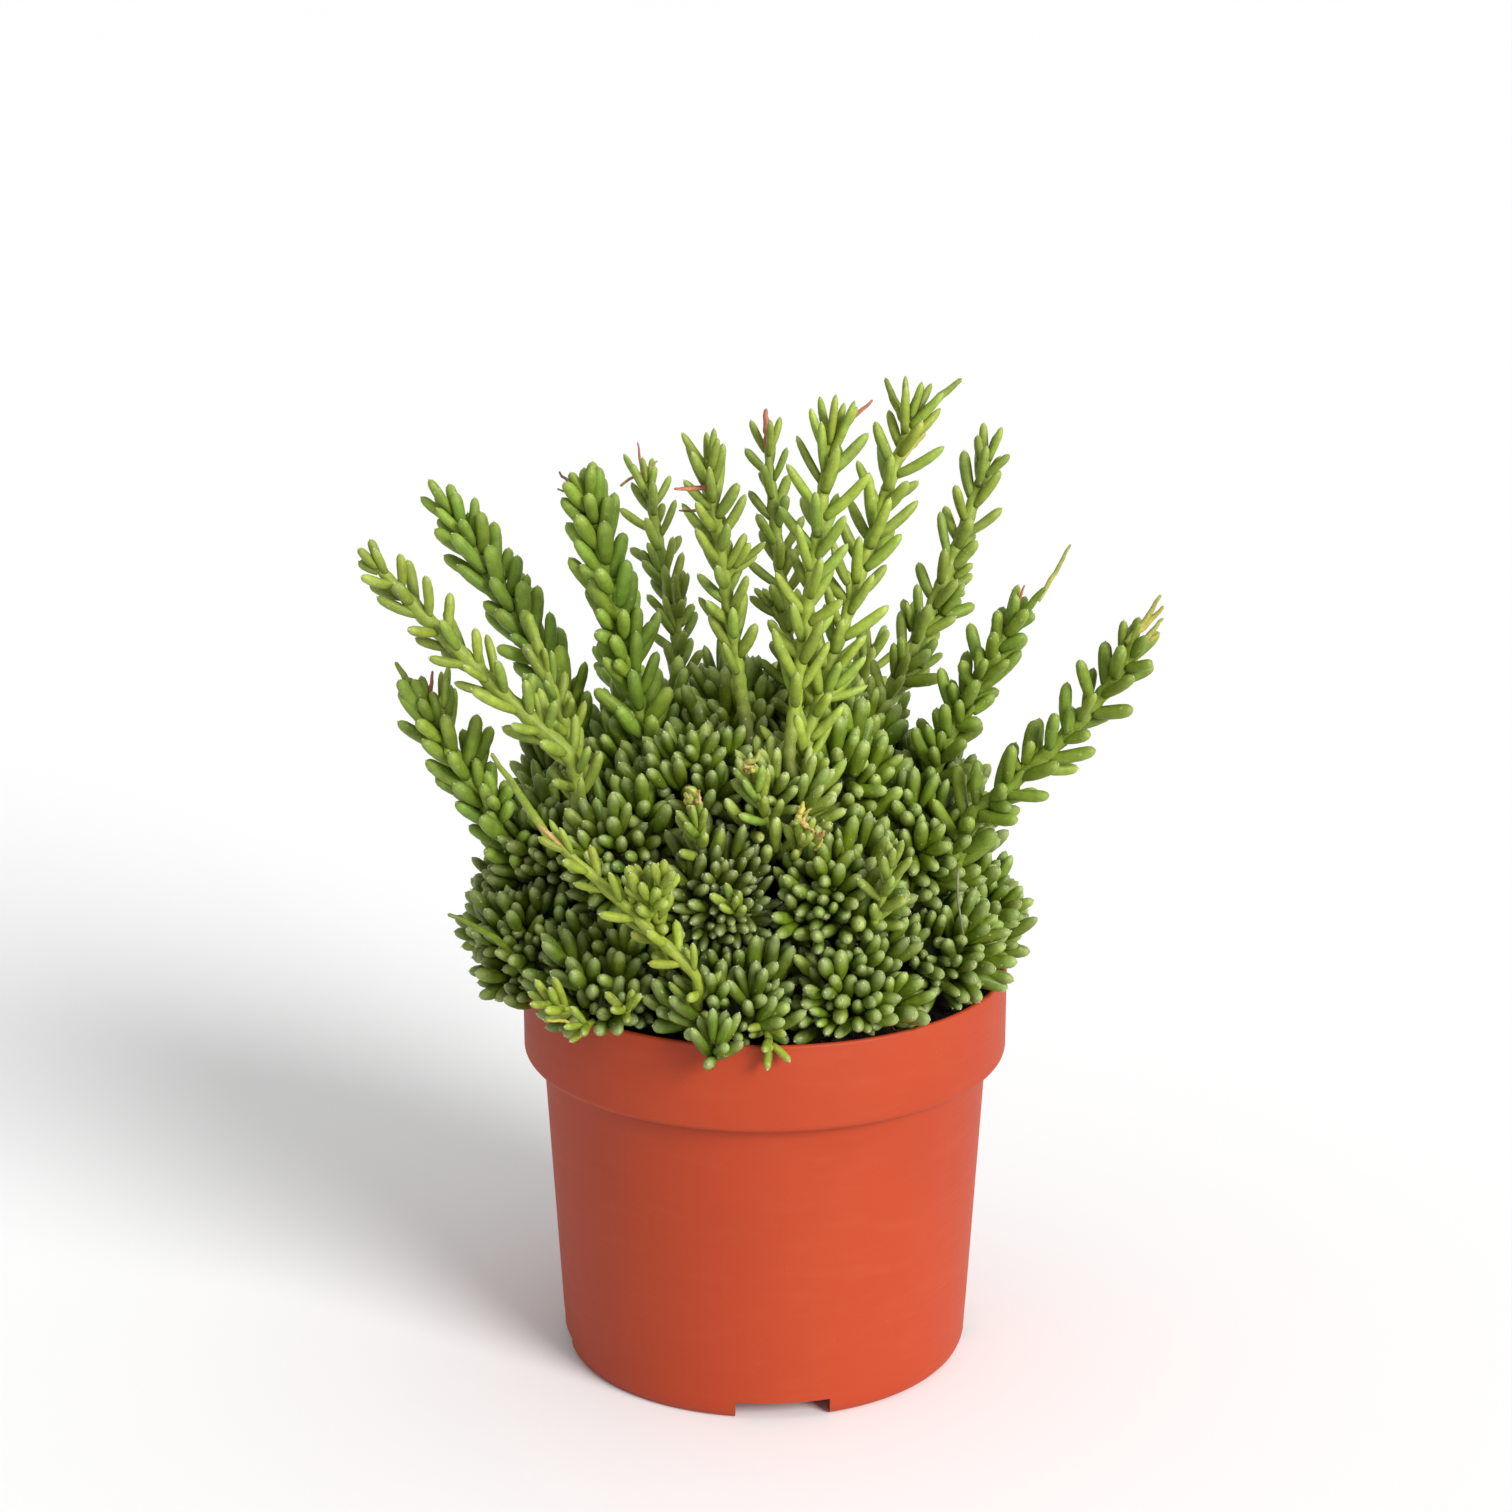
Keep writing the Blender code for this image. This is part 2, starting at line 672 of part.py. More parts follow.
def head_segments(head, core_radius, crowd, centres):
    """The segments of a head that fit in its own cell, clear of every stem and shoot."""
    centre, facing = centres[head.name], head_centre(head)[1]
    turn = facing.to_track_quat("Z", "Y")
    placed = []
    for direction in head_directions(HEAD_SEGMENTS_PER_SPHERE):
        heading = turn @ direction
        if heading.angle(facing) > HEAD_CONE:
            continue
        for share in HEAD_LENGTHS:
            root = centre + heading * ROOT_SHARE * core_radius
            tip = centre + heading * share * head.reach * MM
            belly = root + (tip - root) * HEAD_BELLY_AT
            width = HEAD_SEGMENT_WIDTH * (0.4 + 0.6 * share)
            fits = in_own_cell(head.name, centre, belly, 0.5 * width, centres)
            fits = fits and in_own_cell(head.name, centre, tip, SEGMENT_TIP_GIRTH * width, centres)
            if fits and crowd.clear(head.name, np.array(root), np.array(tip), width, HEAD_GIRTHS):
                placed.append((np.array(root), np.array(tip), width))
                break
    return placed


def core_object(head, centre, radius, collection, material):
    """The small ball in the middle of a head that its segments are rooted in."""
    mesh = bpy.data.meshes.new(head.name)
    shape = bmesh.new()
    bmesh.ops.create_icosphere(shape, subdivisions=CORE_FACES_SUBDIVISIONS, radius=radius)
    bmesh.ops.translate(shape, vec=centre, verts=shape.verts)
    shape.to_mesh(mesh)
    shape.free()
    return new_object(head.name, mesh, collection, material)


def plan_routes(centres):
    """The course of every stem, from its hole in the soil to its shoot or head."""
    routes = []
    for shoot in SHOOTS:
        neck = Vector(shoot.neck) * MM
        heading = (Vector(shoot.tip) * MM - neck).normalized()
        root = Vector((*shoot.root, 0)) * MM
        routes.append(Route(shoot.name, root, neck, heading, shoot.habit.stem))
    for head in HEADS:
        centre, facing = head_centre(head)
        outward = LOW_HEAD_ROOT if head.elevation < LOW_HEAD_ELEVATION else HIGH_HEAD_ROOT
        root = Vector((centre.x, centre.y, 0)) * outward
        routes.append(Route(head.name, root, centre, facing, STALK_RADIUS))
    spread_roots(routes)
    bend_clear(routes, [(head.name, centres[head.name], CORE_SHARE * head.reach * MM) for head in HEADS])
    for route in routes:
        low = route.points[: Route.FIXED - 1]
        route.points = np.array([*low, *thinned(route.points[Route.FIXED - 1 :], STEM_TOLERANCE)])
    return routes


def build_shoot(shoot, route, crowd, parts, material):
    """A stem from its hole to its tip, with the segments that stand clear of the other shoots."""
    points = [*route.points, np.array(shoot.tip) * MM]
    radii = [route.radius] * len(route.points) + [0.5 * route.radius]
    stem = tube_object(shoot.name, points, radii, parts, material)
    crowd.add(shoot.name, points[-2:-1], points[-1:], [route.radius])
    grown = []
    for number, (root, end, width) in enumerate(shoot_segments(shoot, points)):
        if crowd.clear(shoot.name, root, end, width, GIRTHS):
            crowd.add_segment(shoot.name, root, end, width)
            grown.append(segment_object(root, end, width, number, BELLY_AT))
    fuse(stem, grown, material)
    smooth(stem.data)


def build_head(head, route, centres, crowd, parts, material):
    """A stalk from its hole to a small core, and the segments that fill the head's own cell."""
    centre = centres[head.name]
    radius = min(
        CORE_SHARE * head.reach * MM,
        crowd.room(head.name, np.array(centre)) - GAP,
        room_to_rim(centre),
    )
    radii = [route.radius] * len(route.points)
    stalk = tube_object(head.name + " stalk", route.points, radii, parts, material)
    parts.objects.unlink(stalk)
    core = core_object(head, centre, radius, parts, material)
    placed = head_segments(head, radius, crowd, centres)
    grown = [segment_object(*segment, number, HEAD_BELLY_AT) for number, segment in enumerate(placed)]
    fuse(core, [stalk, *grown], material)
    smooth(core.data)


def main():
    """Grows the shoots, fills the cushion round them, then adds the pot and its soil."""
    for old in list(bpy.data.objects):
        bpy.data.objects.remove(old)
    materials = make_materials()
    parts = new_collection("potted rhipsalis")
    centres = {head.name: head_centre(head)[0] for head in HEADS}
    routes = plan_routes(centres)
    crowd = Crowd()
    for route in routes:
        radii = [route.radius] * (len(route.points) - 1)
        crowd.add(route.name, route.points[:-1], route.points[1:], radii)
    for shoot, route in zip(SHOOTS, routes):
        colour = "sprig_green" if shoot.habit is SPRIG else "shoot_green"
        build_shoot(shoot, route, crowd, parts, materials[colour])
    for head, route in zip(HEADS, routes[len(SHOOTS) :]):
        build_head(head, route, centres, crowd, parts, materials["cushion_green"])
    build_pot(parts, materials["pot_plastic"])
    build_soil(routes, parts, materials["potting_mix"])


main()
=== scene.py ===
"""The looks of a potted rhipsalis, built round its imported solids.

A low cushion of short plump stem segments and a fan of taller leafy shoots grow from the soil of a plain
plastic nursery pot. Every piece stands for the solid of the same name, in metres, +Z up, front along -Y.
"""

import logging
import math
from collections import defaultdict
from collections.abc import Iterator, Sequence
from dataclasses import dataclass, replace
from enum import Enum

import bmesh
import bpy
import numpy as np
from mathutils import Matrix, Vector


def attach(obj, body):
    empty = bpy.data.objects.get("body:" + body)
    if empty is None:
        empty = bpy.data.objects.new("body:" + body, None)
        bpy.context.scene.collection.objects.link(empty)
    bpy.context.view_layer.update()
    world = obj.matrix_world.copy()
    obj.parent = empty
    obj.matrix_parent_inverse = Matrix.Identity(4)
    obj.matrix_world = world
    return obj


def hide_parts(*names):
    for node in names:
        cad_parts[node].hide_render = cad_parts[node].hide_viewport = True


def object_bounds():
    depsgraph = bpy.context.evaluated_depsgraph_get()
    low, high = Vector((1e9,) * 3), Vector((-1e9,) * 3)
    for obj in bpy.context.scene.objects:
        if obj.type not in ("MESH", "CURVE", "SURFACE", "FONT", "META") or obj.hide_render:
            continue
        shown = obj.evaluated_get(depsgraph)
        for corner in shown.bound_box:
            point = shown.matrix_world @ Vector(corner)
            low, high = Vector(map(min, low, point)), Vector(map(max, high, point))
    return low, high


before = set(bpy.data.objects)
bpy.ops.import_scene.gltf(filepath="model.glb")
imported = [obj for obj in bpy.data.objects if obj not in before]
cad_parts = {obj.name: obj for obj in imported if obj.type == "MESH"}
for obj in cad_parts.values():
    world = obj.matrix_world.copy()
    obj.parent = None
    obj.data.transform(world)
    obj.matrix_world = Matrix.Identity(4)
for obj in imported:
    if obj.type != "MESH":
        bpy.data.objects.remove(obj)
CAD_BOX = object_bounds()

LOG = logging.getLogger("rhipsalis")
MM = 0.001
GAP = 0.3 * MM
BODY = "root"
FRONT = Vector((0.0, -1.0, 0.0))
UP = np.array([0.0, 0.0, 1.0])
GOLDEN_TURN = math.radians(137.5)
# PALE is the tips' wax colour; tips blended to it and lightened are partly painted highlight
PALE = np.array([0.45, 0.52, 0.26])
HEXAGONAL = 0.866
Rgb = tuple[float, float, float]
Spot = tuple[float, float, float]
Outline = list[tuple[float, float]]
Faces = list[tuple[int, ...]]
Array = np.ndarray
Draws = np.random.Generator
Socket = bpy.types.NodeSocket
Material = bpy.types.Material
Piece = bpy.types.Object

# How near the tips of the segments may come to the solids' own box
BOX_MARGIN = 1.4 * MM
BOX_LOW = np.array(CAD_BOX[0]) + BOX_MARGIN
BOX_HIGH = np.array(CAD_BOX[1]) - BOX_MARGIN

# The length that counts as one in the place that a skin reads, and the ranges of seeds and twists
SKIN_UNIT = 9 * MM
SKIN_SEEDS = 100
TWISTS = 6
THORN_STEPS = 9

# Pot and soil, as the solids have them
POT_HEIGHT = 100 * MM
RIM_RADIUS = 60 * MM
WALL = 1.4 * MM
SOIL_EDGE = 95.2 * MM
SOIL_CROWN = 97.2 * MM
HOLE_DEPTH = 9 * MM

# The dome that the heads of the cushion fill
DOME_CENTRE = np.array([-5.0, 1.0, 108.0]) * MM
DOME_AXES = np.array([72.0, 67.0, 69.0]) * MM
CORE_SHARE = 0.52


class Form(Enum):
    """The outline of a segment: how far along it, and its share of the half-width there."""

    BERRY = ((0.0, 0.5), (0.1, 0.66), (0.28, 0.87), (0.5, 1.0), (0.72, 0.98), (0.87, 0.8), (0.95, 0.55), (0.985, 0.3))
    FINGER = ((0.0, 0.72), (0.1, 0.8), (0.25, 0.9), (0.45, 0.98), (0.7, 1.0), (0.87, 0.87), (0.95, 0.62), (0.985, 0.34))
    REED = ((0.0, 0.8), (0.1, 0.86), (0.25, 0.95), (0.45, 1.0), (0.66, 0.96), (0.84, 0.82), (0.94, 0.58), (0.985, 0.32))


class Tone(Enum):
    """The skin colours of the plant, from its old cushion to its new growth and its dry tips; CORE and SHADE are
    darkened as painted shade.
    """

    # CORE: near black, painted shade in the middle of a head
    CORE = (0.022, 0.032, 0.003)
    # SHADE: the darker tone of a head set back in the cushion, painted shade
    SHADE = (0.072, 0.104, 0.006)
    CUSHION = (0.102, 0.155, 0.007)
    MIDDLE = (0.160, 0.235, 0.019)
    BUSHY = (0.150, 0.225, 0.012)
    PLUMP = (0.185, 0.280, 0.026)
    OPEN = (0.205, 0.275, 0.032)
    LIGHT = (0.245, 0.325, 0.036)
    SPRIG = (0.225, 0.290, 0.026)
    YELLOW = (0.520, 0.460, 0.085)
    STRAW = (0.400, 0.410, 0.090)
    TAN = (0.520, 0.350, 0.120)
    PINK = (0.450, 0.170, 0.090)
    BROWN = (0.160, 0.085, 0.040)
    GREY = (0.170, 0.180, 0.090)
    WOOD = (0.080, 0.085, 0.025)
    STALK = (0.070, 0.080, 0.020)


@dataclass(frozen=True)
class Habit:
    """How a stem carries its segments: metres, degrees of lean, and the youngest's share of the length."""

    length: float
    width: float
    spacing: float
    lean: float
    stem: float
    form: Form
    tone: Tone
    young: float = 0.7


PLUMP = Habit(10.4 * MM, 3.7 * MM, 1.45 * MM, 43, 2.0 * MM, Form.FINGER, Tone.PLUMP)
OPEN = Habit(9.2 * MM, 2.8 * MM, 1.95 * MM, 52, 1.9 * MM, Form.FINGER, Tone.OPEN, 0.55)
STOUT = Habit(10.2 * MM, 3.5 * MM, 1.75 * MM, 54, 1.8 * MM, Form.FINGER, Tone.MIDDLE)
SPACED = Habit(9.0 * MM, 3.0 * MM, 2.05 * MM, 50, 1.75 * MM, Form.FINGER, Tone.OPEN, 0.8)
SLIM = Habit(8.8 * MM, 2.6 * MM, 1.75 * MM, 45, 1.6 * MM, Form.REED, Tone.LIGHT, 0.85)
LONG = Habit(10.8 * MM, 2.85 * MM, 1.9 * MM, 49, 1.55 * MM, Form.REED, Tone.LIGHT, 0.95)
SHORT = Habit(6.8 * MM, 2.5 * MM, 1.8 * MM, 48, 1.5 * MM, Form.FINGER, Tone.OPEN, 0.9)
FRESH = Habit(6.8 * MM, 2.5 * MM, 1.9 * MM, 50, 1.3 * MM, Form.FINGER, Tone.SPRIG, 0.85)
SPRIG = Habit(7.4 * MM, 2.3 * MM, 2.9 * MM, 52, 1.3 * MM, Form.FINGER, Tone.SPRIG, 0.7)
NEW_GROWTH = Habit(7.6 * MM, 2.5 * MM, 1.5 * MM, 46, 1.4 * MM, Form.FINGER, Tone.OPEN, 0.8)


@dataclass(frozen=True)
class Thorn:
    """A dry needle, withered tip or bare twig, from its foot to its point, in millimetres.

    Its foot is moved to the nearest point of its stem, unless it is free.
    """

    foot: Spot
    point: Spot
    radius: float
    tone: Tone
    bow: float = 0.0
    free: bool = False


@dataclass(frozen=True)
class Branch:
    """A side shoot: how far below the tip it leaves in mm, its end, and its habit."""

    down: float
    end: Spot
    habit: Habit


@dataclass(frozen=True)
class Twig:
    """A sprig that rises out of a head: its foot and its end in mm, and its habit."""

    foot: Spot
    end: Spot
    habit: Habit


@dataclass(frozen=True)
class Shoot:
    """A leafy stem, in millimetres, with the solid's own stem radius.

    It leaves the cushion at its neck and goes on to its tip with its bow. Bare is how much of its end has
    no segments. Clean is how much of it has none above the neck, and below zero they go on under the
    neck. Skirt is how many short side shoots crowd its lower part.
    """

    name: str
    root: tuple[float, float]
    neck: Spot
    tip: Spot
    habit: Habit
    radius: float
    bare: float = 0.0
    bow: Spot = (0.0, 0.0, 0.0)
    clean: float = -16.0
    skirt: int = 0
    branches: tuple[Branch, ...] = ()
    thorns: tuple[Thorn, ...] = ()


SHOOTS = (
    Shoot(
        "shoot_left_low", (-34, -9), (-62, -15, 136), (-84, -20, 175), PLUMP, 1.6, skirt=4,
        branches=(Branch(14, (-77, -22, 178), SLIM),),
        thorns=(
            Thorn((-80, -20, 168), (-78.5, -20, 179), 0.6, Tone.PINK),
            Thorn((-82, -20, 170), (-87, -20, 181), 1.0, Tone.LIGHT),
        ),
    ),
    Shoot("shoot_left_outer", (-29, -24), (-45, -30, 161), (-92, -35, 211), OPEN, 1.5, bow=(0, 0, -1.5), skirt=2),
    Shoot("shoot_left_plump", (-27, 3), (-49, 0, 169), (-79, 15, 215), PLUMP, 1.6, skirt=7),
    Shoot("shoot_left_bare", (-23, -14), (-50, -18, 172), (-57, -18, 196), SHORT, 1.5, 15),
    Shoot(
        "shoot_left_inner", (-17, -8), (-31, -10, 172), (-43, -15, 226), PLUMP, 1.6, skirt=8,
        thorns=(
            Thorn((-44, -16, 218), (-48.0, -16, 226), 0.5, Tone.BROWN, 0.5),
            Thorn((-44, -16, 216), (-48.5, -16, 222), 0.4, Tone.PINK, 0.5),
        ),
    ),
    Shoot(
        "shoot_back_left", (-12, 14), (-21, 25, 170), (-31, 58, 214), replace(SHORT, length=7.8 * MM), 1.4, skirt=2,
        thorns=(
            Thorn((-37.0, 58, 208), (-27.5, 58, 214.5), 0.4, Tone.TAN, free=True),
            Thorn((-31, 58, 208), (-32.5, 59, 219), 0.4, Tone.PINK, free=True),
        ),
    ),
    Shoot(
        "shoot_middle_left", (-3, -13), (-4, -25, 164), (-14, -40, 238), replace(SLIM, tone=Tone.OPEN), 1.4, clean=18,
        branches=(Branch(30, (-3, -34, 213), SHORT),),
        thorns=(
            Thorn((-13, -40, 226), (-20.5, -41, 227), 0.6, Tone.PINK),
            Thorn((-13, -40, 220), (-19.5, -41, 222), 0.4, Tone.BROWN),
        ),
    ),
    Shoot(
        "shoot_middle_right", (4, 1), (7, -8, 168), (0, 10, 232), replace(SHORT, spacing=2.1 * MM, length=7.6 * MM),
        1.4, skirt=3, thorns=(Thorn((0, 10, 226), (0.2, 10, 236), 1.0, Tone.PINK),),
    ),
    Shoot(
        "shoot_tall_bare", (6, -20), (5, -35, 160), (16, -20, 243), LONG, 1.4, clean=14,
        thorns=(
            Thorn((18, -20, 236), (24.5, -20, 243.5), 0.6, Tone.PINK),
            Thorn((15, -21, 232), (15.5, -21, 241), 1.1, Tone.BROWN),
        ),
    ),
    Shoot(
        "shoot_tallest", (12, -11), (9, -29, 163), (37, 0, 244), LONG, 1.4, skirt=2,
        thorns=(
            Thorn((36, -1, 234), (37, -1, 243.5), 1.3, Tone.BROWN),
            Thorn((32.5, 0, 233), (28.5, 0, 245), 1.1, Tone.LIGHT),
            Thorn((38, 0, 232), (46, 0, 245), 1.1, Tone.LIGHT),
            Thorn((35.5, -3, 224), (37.5, -5, 233), 0.9, Tone.YELLOW),
        ),
    ),
    Shoot(
        "shoot_right_back", (14, 10), (24, 15, 153), (58, 40, 224), SPACED, 1.5, bow=(2, 0, -2), skirt=4,
        branches=(Branch(48, (50, 28, 186), STOUT), Branch(62, (45, 24, 172), STOUT)),
    ),
    Shoot(
        "shoot_right_short", (23, -4), (41, -10, 152), (62, -10, 194), STOUT, 1.5, bow=(-1.5, 0, 0), skirt=6,
        thorns=(
            Thorn((61, -10, 185), (66.0, -11.5, 197), 1.1, Tone.MIDDLE),
            Thorn((64.7, -11.1, 194), (72, -11, 207.5), 0.6, Tone.STRAW, 0.4, free=True),
            Thorn((60, -10, 189), (61.5, -10, 197.5), 0.4, Tone.PINK, 0.5),
        ),
    ),
    Shoot(
        "shoot_right_outer", (28, -14), (48, -25, 145), (89, -30, 190), STOUT, 1.5, bow=(2, 0, -2), skirt=3,
        thorns=(
            Thorn((81, -30, 184), (86, -33, 193.5), 1.2, Tone.LIGHT),
            Thorn((83, -30, 184), (88, -33.5, 190.5), 1.2, Tone.LIGHT),
            Thorn((83.6, -31.6, 189), (90.8, -33.5, 200.5), 0.75, Tone.STRAW, 0.4, free=True),
            Thorn((84.4, -32, 190), (91.4, -34, 198), 0.75, Tone.YELLOW, 0.3, free=True),
            Thorn((85.4, -32.4, 187.8), (91.4, -34.5, 195.3), 0.7, Tone.STRAW, 0.3, free=True),
            Thorn((86.0, -32.6, 188), (90.8, -34, 191.8), 0.65, Tone.YELLOW, 0.3, free=True),
        ),
    ),
    Shoot("shoot_rear_left", (-16, 32), (-28, 50, 140), (-42, 68, 161), PLUMP, 1.6, skirt=4),
    Shoot("shoot_rear_right", (12, 36), (20, 50, 142), (30, 67, 167), SPACED, 1.5, skirt=4),
    Shoot(
        "sprig_front", (-12, -45), (-15, -63, 118), (-49, -62, 152), SPRIG, 1.4,
        thorns=(Thorn((-47, -62, 148), (-51.5, -61, 154), 0.7, Tone.TAN),),
    ),
    Shoot("sprig_rosette", (-22, -40), (-25, -60, 131), (-28, -66, 142), replace(FRESH, width=3.1 * MM), 1.4, skirt=3),
    Shoot("sprig_rim", (2, -46), (0, -57, 105), (2, -64.5, 97.5), replace(FRESH, length=6.4 * MM), 1.4),
)


@dataclass(frozen=True)
class Manner:
    """How a head carries its segments, in metres and degrees.

    A tuft is a hidden stem with a crowd of segments at its end. Pitch and tuft are how far apart the older
    segments and the tufts are. Rise is the share of up in a heading, spread how far a tuft opens, fan how flat
    the head is, depth the least and most reach of its tufts, and share how much of the head they fill.
    """

    length: float
    width: float
    pitch: float
    rise: float
    tone: Tone
    form: Form = Form.BERRY
    curl: float = 0.06
    tuft: float = 10.5 * MM
    crowd: int = 12
    spread: float = 62
    fan: float = 0.1
    depth: tuple[float, float] = (0.86, 1.03)
    share: float = 1.0


BERRIES = Manner(7.8 * MM, 3.5 * MM, 4.2 * MM, 0.42, Tone.CUSHION, crowd=13)
TIGHT = Manner(7.4 * MM, 3.4 * MM, 4.0 * MM, 0.35, Tone.CUSHION, tuft=8.4 * MM, crowd=9, spread=50)
UPRIGHT = Manner(10.5 * MM, 3.2 * MM, 4.6 * MM, 1.0, Tone.BUSHY, Form.FINGER, spread=48, depth=(0.78, 1.06))
BOLD = Manner(9.6 * MM, 3.7 * MM, 4.9 * MM, 0.6, Tone.BUSHY, Form.FINGER, tuft=12 * MM, fan=0.3)
ROSETTE = Manner(7.7 * MM, 3.2 * MM, 4.3 * MM, 0.5, Tone.CUSHION, Form.FINGER, 0.2, 10.5 * MM, fan=0.75)
NEW = Manner(8.6 * MM, 2.8 * MM, 4.2 * MM, 0.8, Tone.OPEN, Form.FINGER, 0.1, 10 * MM, fan=0.4)
# SMALL heads take the SHADE tone: painted shade
SMALL = Manner(7.2 * MM, 2.9 * MM, 3.7 * MM, 0.35, Tone.SHADE, tuft=8 * MM, crowd=9, share=0.9)
DROOPING = Manner(9.6 * MM, 3.2 * MM, 4.4 * MM, -0.15, Tone.CUSHION, Form.FINGER, 0.1, fan=0.3)


@dataclass(frozen=True)
class Head:
    """A dense head of the cushion: degrees round from the front and up the dome, and its reach in mm."""

    name: str
    azimuth: float
    elevation: float
    reach: float
    manner: Manner = BERRIES
    twigs: tuple[Twig, ...] = ()
    withered: tuple[Spot, ...] = ()
    thorns: tuple[Thorn, ...] = ()


HEADS = (
    Head("head_low_01", -4, 0, 20, ROSETTE),
    Head("head_low_02", 27, 1, 19, TIGHT),
    Head("head_low_03", 58, 0, 20, DROOPING),
    Head("head_low_04", 92, 2, 20),
    Head("head_low_05", 126, 0, 20, DROOPING),
    Head("head_low_06", 160, 2, 20),
    Head("head_low_07", 194, 0, 20, DROOPING),
    Head("head_low_08", 228, 2, 20),
    Head("head_low_09", 261, 4, 21),
    Head("head_low_10", -68, 4, 21, TIGHT, thorns=(Thorn((-57, -30, 106), (-74, -42, 126), 0.9, Tone.MIDDLE, 2.4),)),
    Head(
        "head_low_11", -36, 1, 20,
        twigs=(
            Twig((-44, -52, 106), (-53, -60, 112), FRESH),
            Twig((-40, -54, 104), (-44, -62, 105), FRESH),
            Twig((-32, -55, 106), (-33, -63, 112), FRESH),
        ),
        thorns=(Thorn((-45, -57, 105), (-50, -64, 108), 0.4, Tone.YELLOW),),
    ),
    Head(
        "head_mid_01", -8, 28, 18, SMALL,
        twigs=(Twig((-13, -44, 138), (-17, -52, 155), NEW_GROWTH), Twig((-6, -50, 128), (-9, -58, 136), NEW_GROWTH)),
        withered=((-17, -52, 157),),
    ),
    Head("head_mid_02", 25, 26, 19, TIGHT, twigs=(Twig((25, -48, 126), (30, -55, 147), NEW_GROWTH),)),
    Head("head_mid_03", 62, 32, 20, thorns=(Thorn((45, -40, 137), (46, -48, 123), 0.35, Tone.GREY, 0.8),)),
    Head("head_mid_04", 99, 34, 22),
    Head("head_mid_05", 134, 33, 22, BOLD),
    Head("head_mid_06", 170, 34, 22),
    Head("head_mid_07", 206, 33, 22, TIGHT),
    Head("head_mid_08", 243, 34, 22),
    Head("head_mid_09", -72, 30, 20, TIGHT),
    Head("head_mid_10", -39, 36, 19, thorns=(Thorn((-50, -34, 141), (-63, -42, 165), 1.0, Tone.LIGHT, 0.8),)),
    Head("head_high_01", -20, 58, 21),
    Head(
        "head_high_02", 10, 50, 17, NEW,
        twigs=(Twig((2, -40, 145), (-4, -46, 162), NEW_GROWTH), Twig((7, -42, 140), (9, -51, 150), NEW_GROWTH)),
        withered=((-4, -46, 164), (7, -50, 153), (12, -49, 148)),
    ),
    Head("head_high_03", 46, 56, 20, BOLD),
    Head("head_high_04", 118, 62, 22, UPRIGHT),
    Head("head_high_05", 190, 62, 22, UPRIGHT),
    Head("head_high_06", -95, 62, 22, UPRIGHT),
    Head("head_crown", 0, 86, 19, UPRIGHT),
)


def unit(vector: Array) -> Array:
    """The vector at length one."""
    return vector / np.linalg.norm(vector)


def side_of(direction: Array, turn: float) -> Array:
    """A unit vector square to a direction.

    Args:
        direction: The way that it is square to.
        turn: How far round that way it is turned, in radians.

    Returns:
        The unit vector.
    """
    along = Vector(direction)
    across = along.orthogonal().normalized()
    return np.array(Matrix.Rotation(turn, 3, along) @ across)


def travelled(course: Array) -> Array:
    """How far along a course each of its points is."""
    return np.append(0, np.cumsum(np.linalg.norm(np.diff(course, axis=0), axis=1)))


def placed(name: str, data: bpy.types.ID) -> Piece:
    """Puts a mesh, a light or a camera into the scene.

    Args:
        name: The object's name.
        data: What it shows.

    Returns:
        The object.
    """
    made = bpy.data.objects.new(name, data)
    bpy.context.scene.collection.objects.link(made)
    return made


def ball(subdivisions: int, radius: float) -> tuple[Array, Faces]:
    """A round ball of even faces.

    Args:
        subdivisions: How finely it is divided.
        radius: Its radius.

    Returns:
        Its points and its faces.
    """
    shape = bmesh.new()
    bmesh.ops.create_icosphere(shape, subdivisions=subdivisions, radius=radius)
    points = np.array([vertex.co[:] for vertex in shape.verts])
    faces = [tuple(vertex.index for vertex in face.verts) for face in shape.faces]
    shape.free()
    return points, faces


